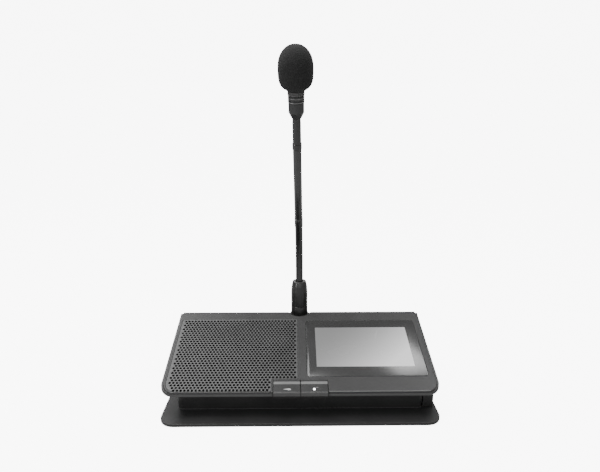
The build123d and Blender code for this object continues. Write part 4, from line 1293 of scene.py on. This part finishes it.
# Eight flats are cut on the taper: they start close to the axis and run out above
taper_start, flat_start, flat_rate = 3.2 * mm, 4.0 * mm, 0.45
into_head = head_frame.inverted()
for vertex in cup.data.vertices:
    place = into_head @ vertex.co
    rise = place.z - head_base - taper_start
    out = hypot(place.x, place.y)
    if rise >= 0 and out > 1 * mm:
        off_flat = atan2(place.y, place.x) % radians(45) - radians(22.5)
        reach = (flat_start + flat_rate * rise) / cos(off_flat)
        if reach < out:
            vertex.co = head_frame @ Vector((place.x * reach / out, place.y * reach / out,
                                             place.z))
cup.data.set_sharp_from_angle(angle=radians(18))
collar = turned("head_collar_turned",
                rounded_corners(
                    head_heights([(0, 18.0), (7.2, 18.0), (7.2, 20.2), (6.75, 20.3),
                                  (6.75, 20.8), (7.2, 20.9), (7.2, 24.0), (6.75, 24.1),
                                  (6.75, 24.6), (0, 24.6)]),
                    [r * mm for r in (0, 0.2, 0.1, 0, 0, 0.1, 0.2, 0, 0, 0)], 4),
                head_frame, "neck_black")
trims = [turned(f"head_trim_ring_{number}",
                bored_ring(6.8 * mm, 7.3 * mm, head_base + low * mm, head_base + high * mm,
                           0.12 * mm), head_frame, "dark_steel")
         for number, low, high in ((1, 18.65, 19.15), (2, 22.25, 22.75))]
light_ring = turned("light_ring_turned",
                    bored_ring(5.65 * mm, 7.5 * mm, head_base + 24.6 * mm,
                               head_base + 28.4 * mm, 0.4 * mm), head_frame,
                    "light_ring_plastic")
for piece in (cup, collar, *trims, light_ring):
    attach(piece, "head")
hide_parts("mic_cup")
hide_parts("head_collar")
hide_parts("light_ring")

# %% [markdown]
# The foam is an egg that is blunter below than above. Its rings come from a rounded power
# curve on each side of the belly, and small noise pulls the surface in, so that its
# outline is soft like cut foam. Its top stands about 0.2 mm above the CAD model's box,
# which is allowed for foam.

# %% Foam windscreen
foam_low = head_base + 28.7 * mm
foam_length = 37.5 * mm
foam_radius = 15.3 * mm
foam_belly = foam_low + foam_length * 0.48
foam_high = foam_low + foam_length
# The microphone's capsule goes this deep into the foam
pocket_radius, pocket_top = 5.8 * mm, foam_low + 24 * mm


def egg_side(end, power, steps):
    """Rings (radius, height) from near one end of the foam to its belly."""
    rings = []
    for step in range(steps, 0, -1):
        reach = sin(radians(86) * step / steps)
        rings.append((foam_radius * (1 - reach ** power) ** (1 / power),
                      foam_belly + (end - foam_belly) * reach))
    return rings


foam_profile = [(0, pocket_top), (pocket_radius, pocket_top), (5.9 * mm, foam_low),
                (6.6 * mm, foam_low - 0.1 * mm), (8.4 * mm, foam_low - 0.05 * mm)]
foam_profile += [p for p in egg_side(foam_low, 3.4, 30) if p[0] > 8.8 * mm]
foam_profile += [(foam_radius, foam_belly)]
foam_profile += egg_side(foam_high, 2.15, 34)[::-1]
foam_profile += [(0, foam_high)]
foam = turned("windscreen_foam_egg", foam_profile, head_frame, "windscreen_foam", sides=120,
              sharp=80)
noise_scale, deepest_pull, near_pocket = 900, 0.25 * mm, 7 * mm
head_axis = head_frame.to_3x3() @ Vector((0, 0, 1))
head_origin = head_frame.translation
for vertex in foam.data.vertices:
    arm = vertex.co - head_origin - head_axis * (vertex.co - head_origin).dot(head_axis)
    if arm.length > near_pocket:
        pull = 0.5 + 0.5 * noise.noise(vertex.co * noise_scale)
        vertex.co -= arm.normalized() * pull * deepest_pull
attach(foam, "head")
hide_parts("windscreen")

# %% [markdown]
# Small things last: the marks on the buttons, which lie just over the caps' faces, and the
# headphone socket in its block.

# %% Button marks and headphone socket
cap_face = 0.8 * mm
mark_low, mark_high = cap_face - 0.1 * mm, cap_face + 0.04 * mm
line_high = cap_face + 0.03 * mm
mute_outline = [(-16.2 * mm, 106.2 * mm), (-10.6 * mm, 105.3 * mm), (-9.0 * mm, 105.9 * mm),
                (-9.0 * mm, 106.9 * mm), (-10.6 * mm, 107.4 * mm)]
mute_mark = flat_shape("mute_mark", mute_outline, mark_low, mark_high, "mark_white")
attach(mute_mark, "mute_button")
speak_outline = rounded_corners(
    box_corners(14.0 * mm, 16.4 * mm, 104.0 * mm, 104.8 * mm), [0.3 * mm] * 4, 3)
speak_mark = flat_shape("speak_mark", speak_outline, mark_low, mark_high, "highlight_and_print_grey")
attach(speak_mark, "speak_button")
for number, down in enumerate((101.9, 104.2)):
    line_box = box_corners(-18.6 * mm, -11.2 * mm, down * mm, (down + 0.8) * mm)
    line = flat_shape(f"mute_line_{number + 1}", line_box, mark_low, line_high, "shade_and_print_black")
    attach(line, "mute_button")

phone_frame = Matrix.Translation((128.05 * mm, -37.5 * mm, 17 * mm)) @ Matrix.Rotation(
    radians(90), 4, "Y")
bore, barrel, bore_end, barrel_end = 1.8 * mm, 3.9 * mm, -14 * mm, -19 * mm
phone_profile = rounded_corners(
    [(bore, bore_end), (bore, 0), (barrel, 0), (barrel, barrel_end), (0, barrel_end),
     (0, bore_end)], [0, 0.4 * mm, 0.3 * mm, 0, 0, 0], 4)
phone = turned("headphone_socket_turned", phone_profile, phone_frame, "socket_black", sides=48)
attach(phone, "base")
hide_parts("headphone_jack")
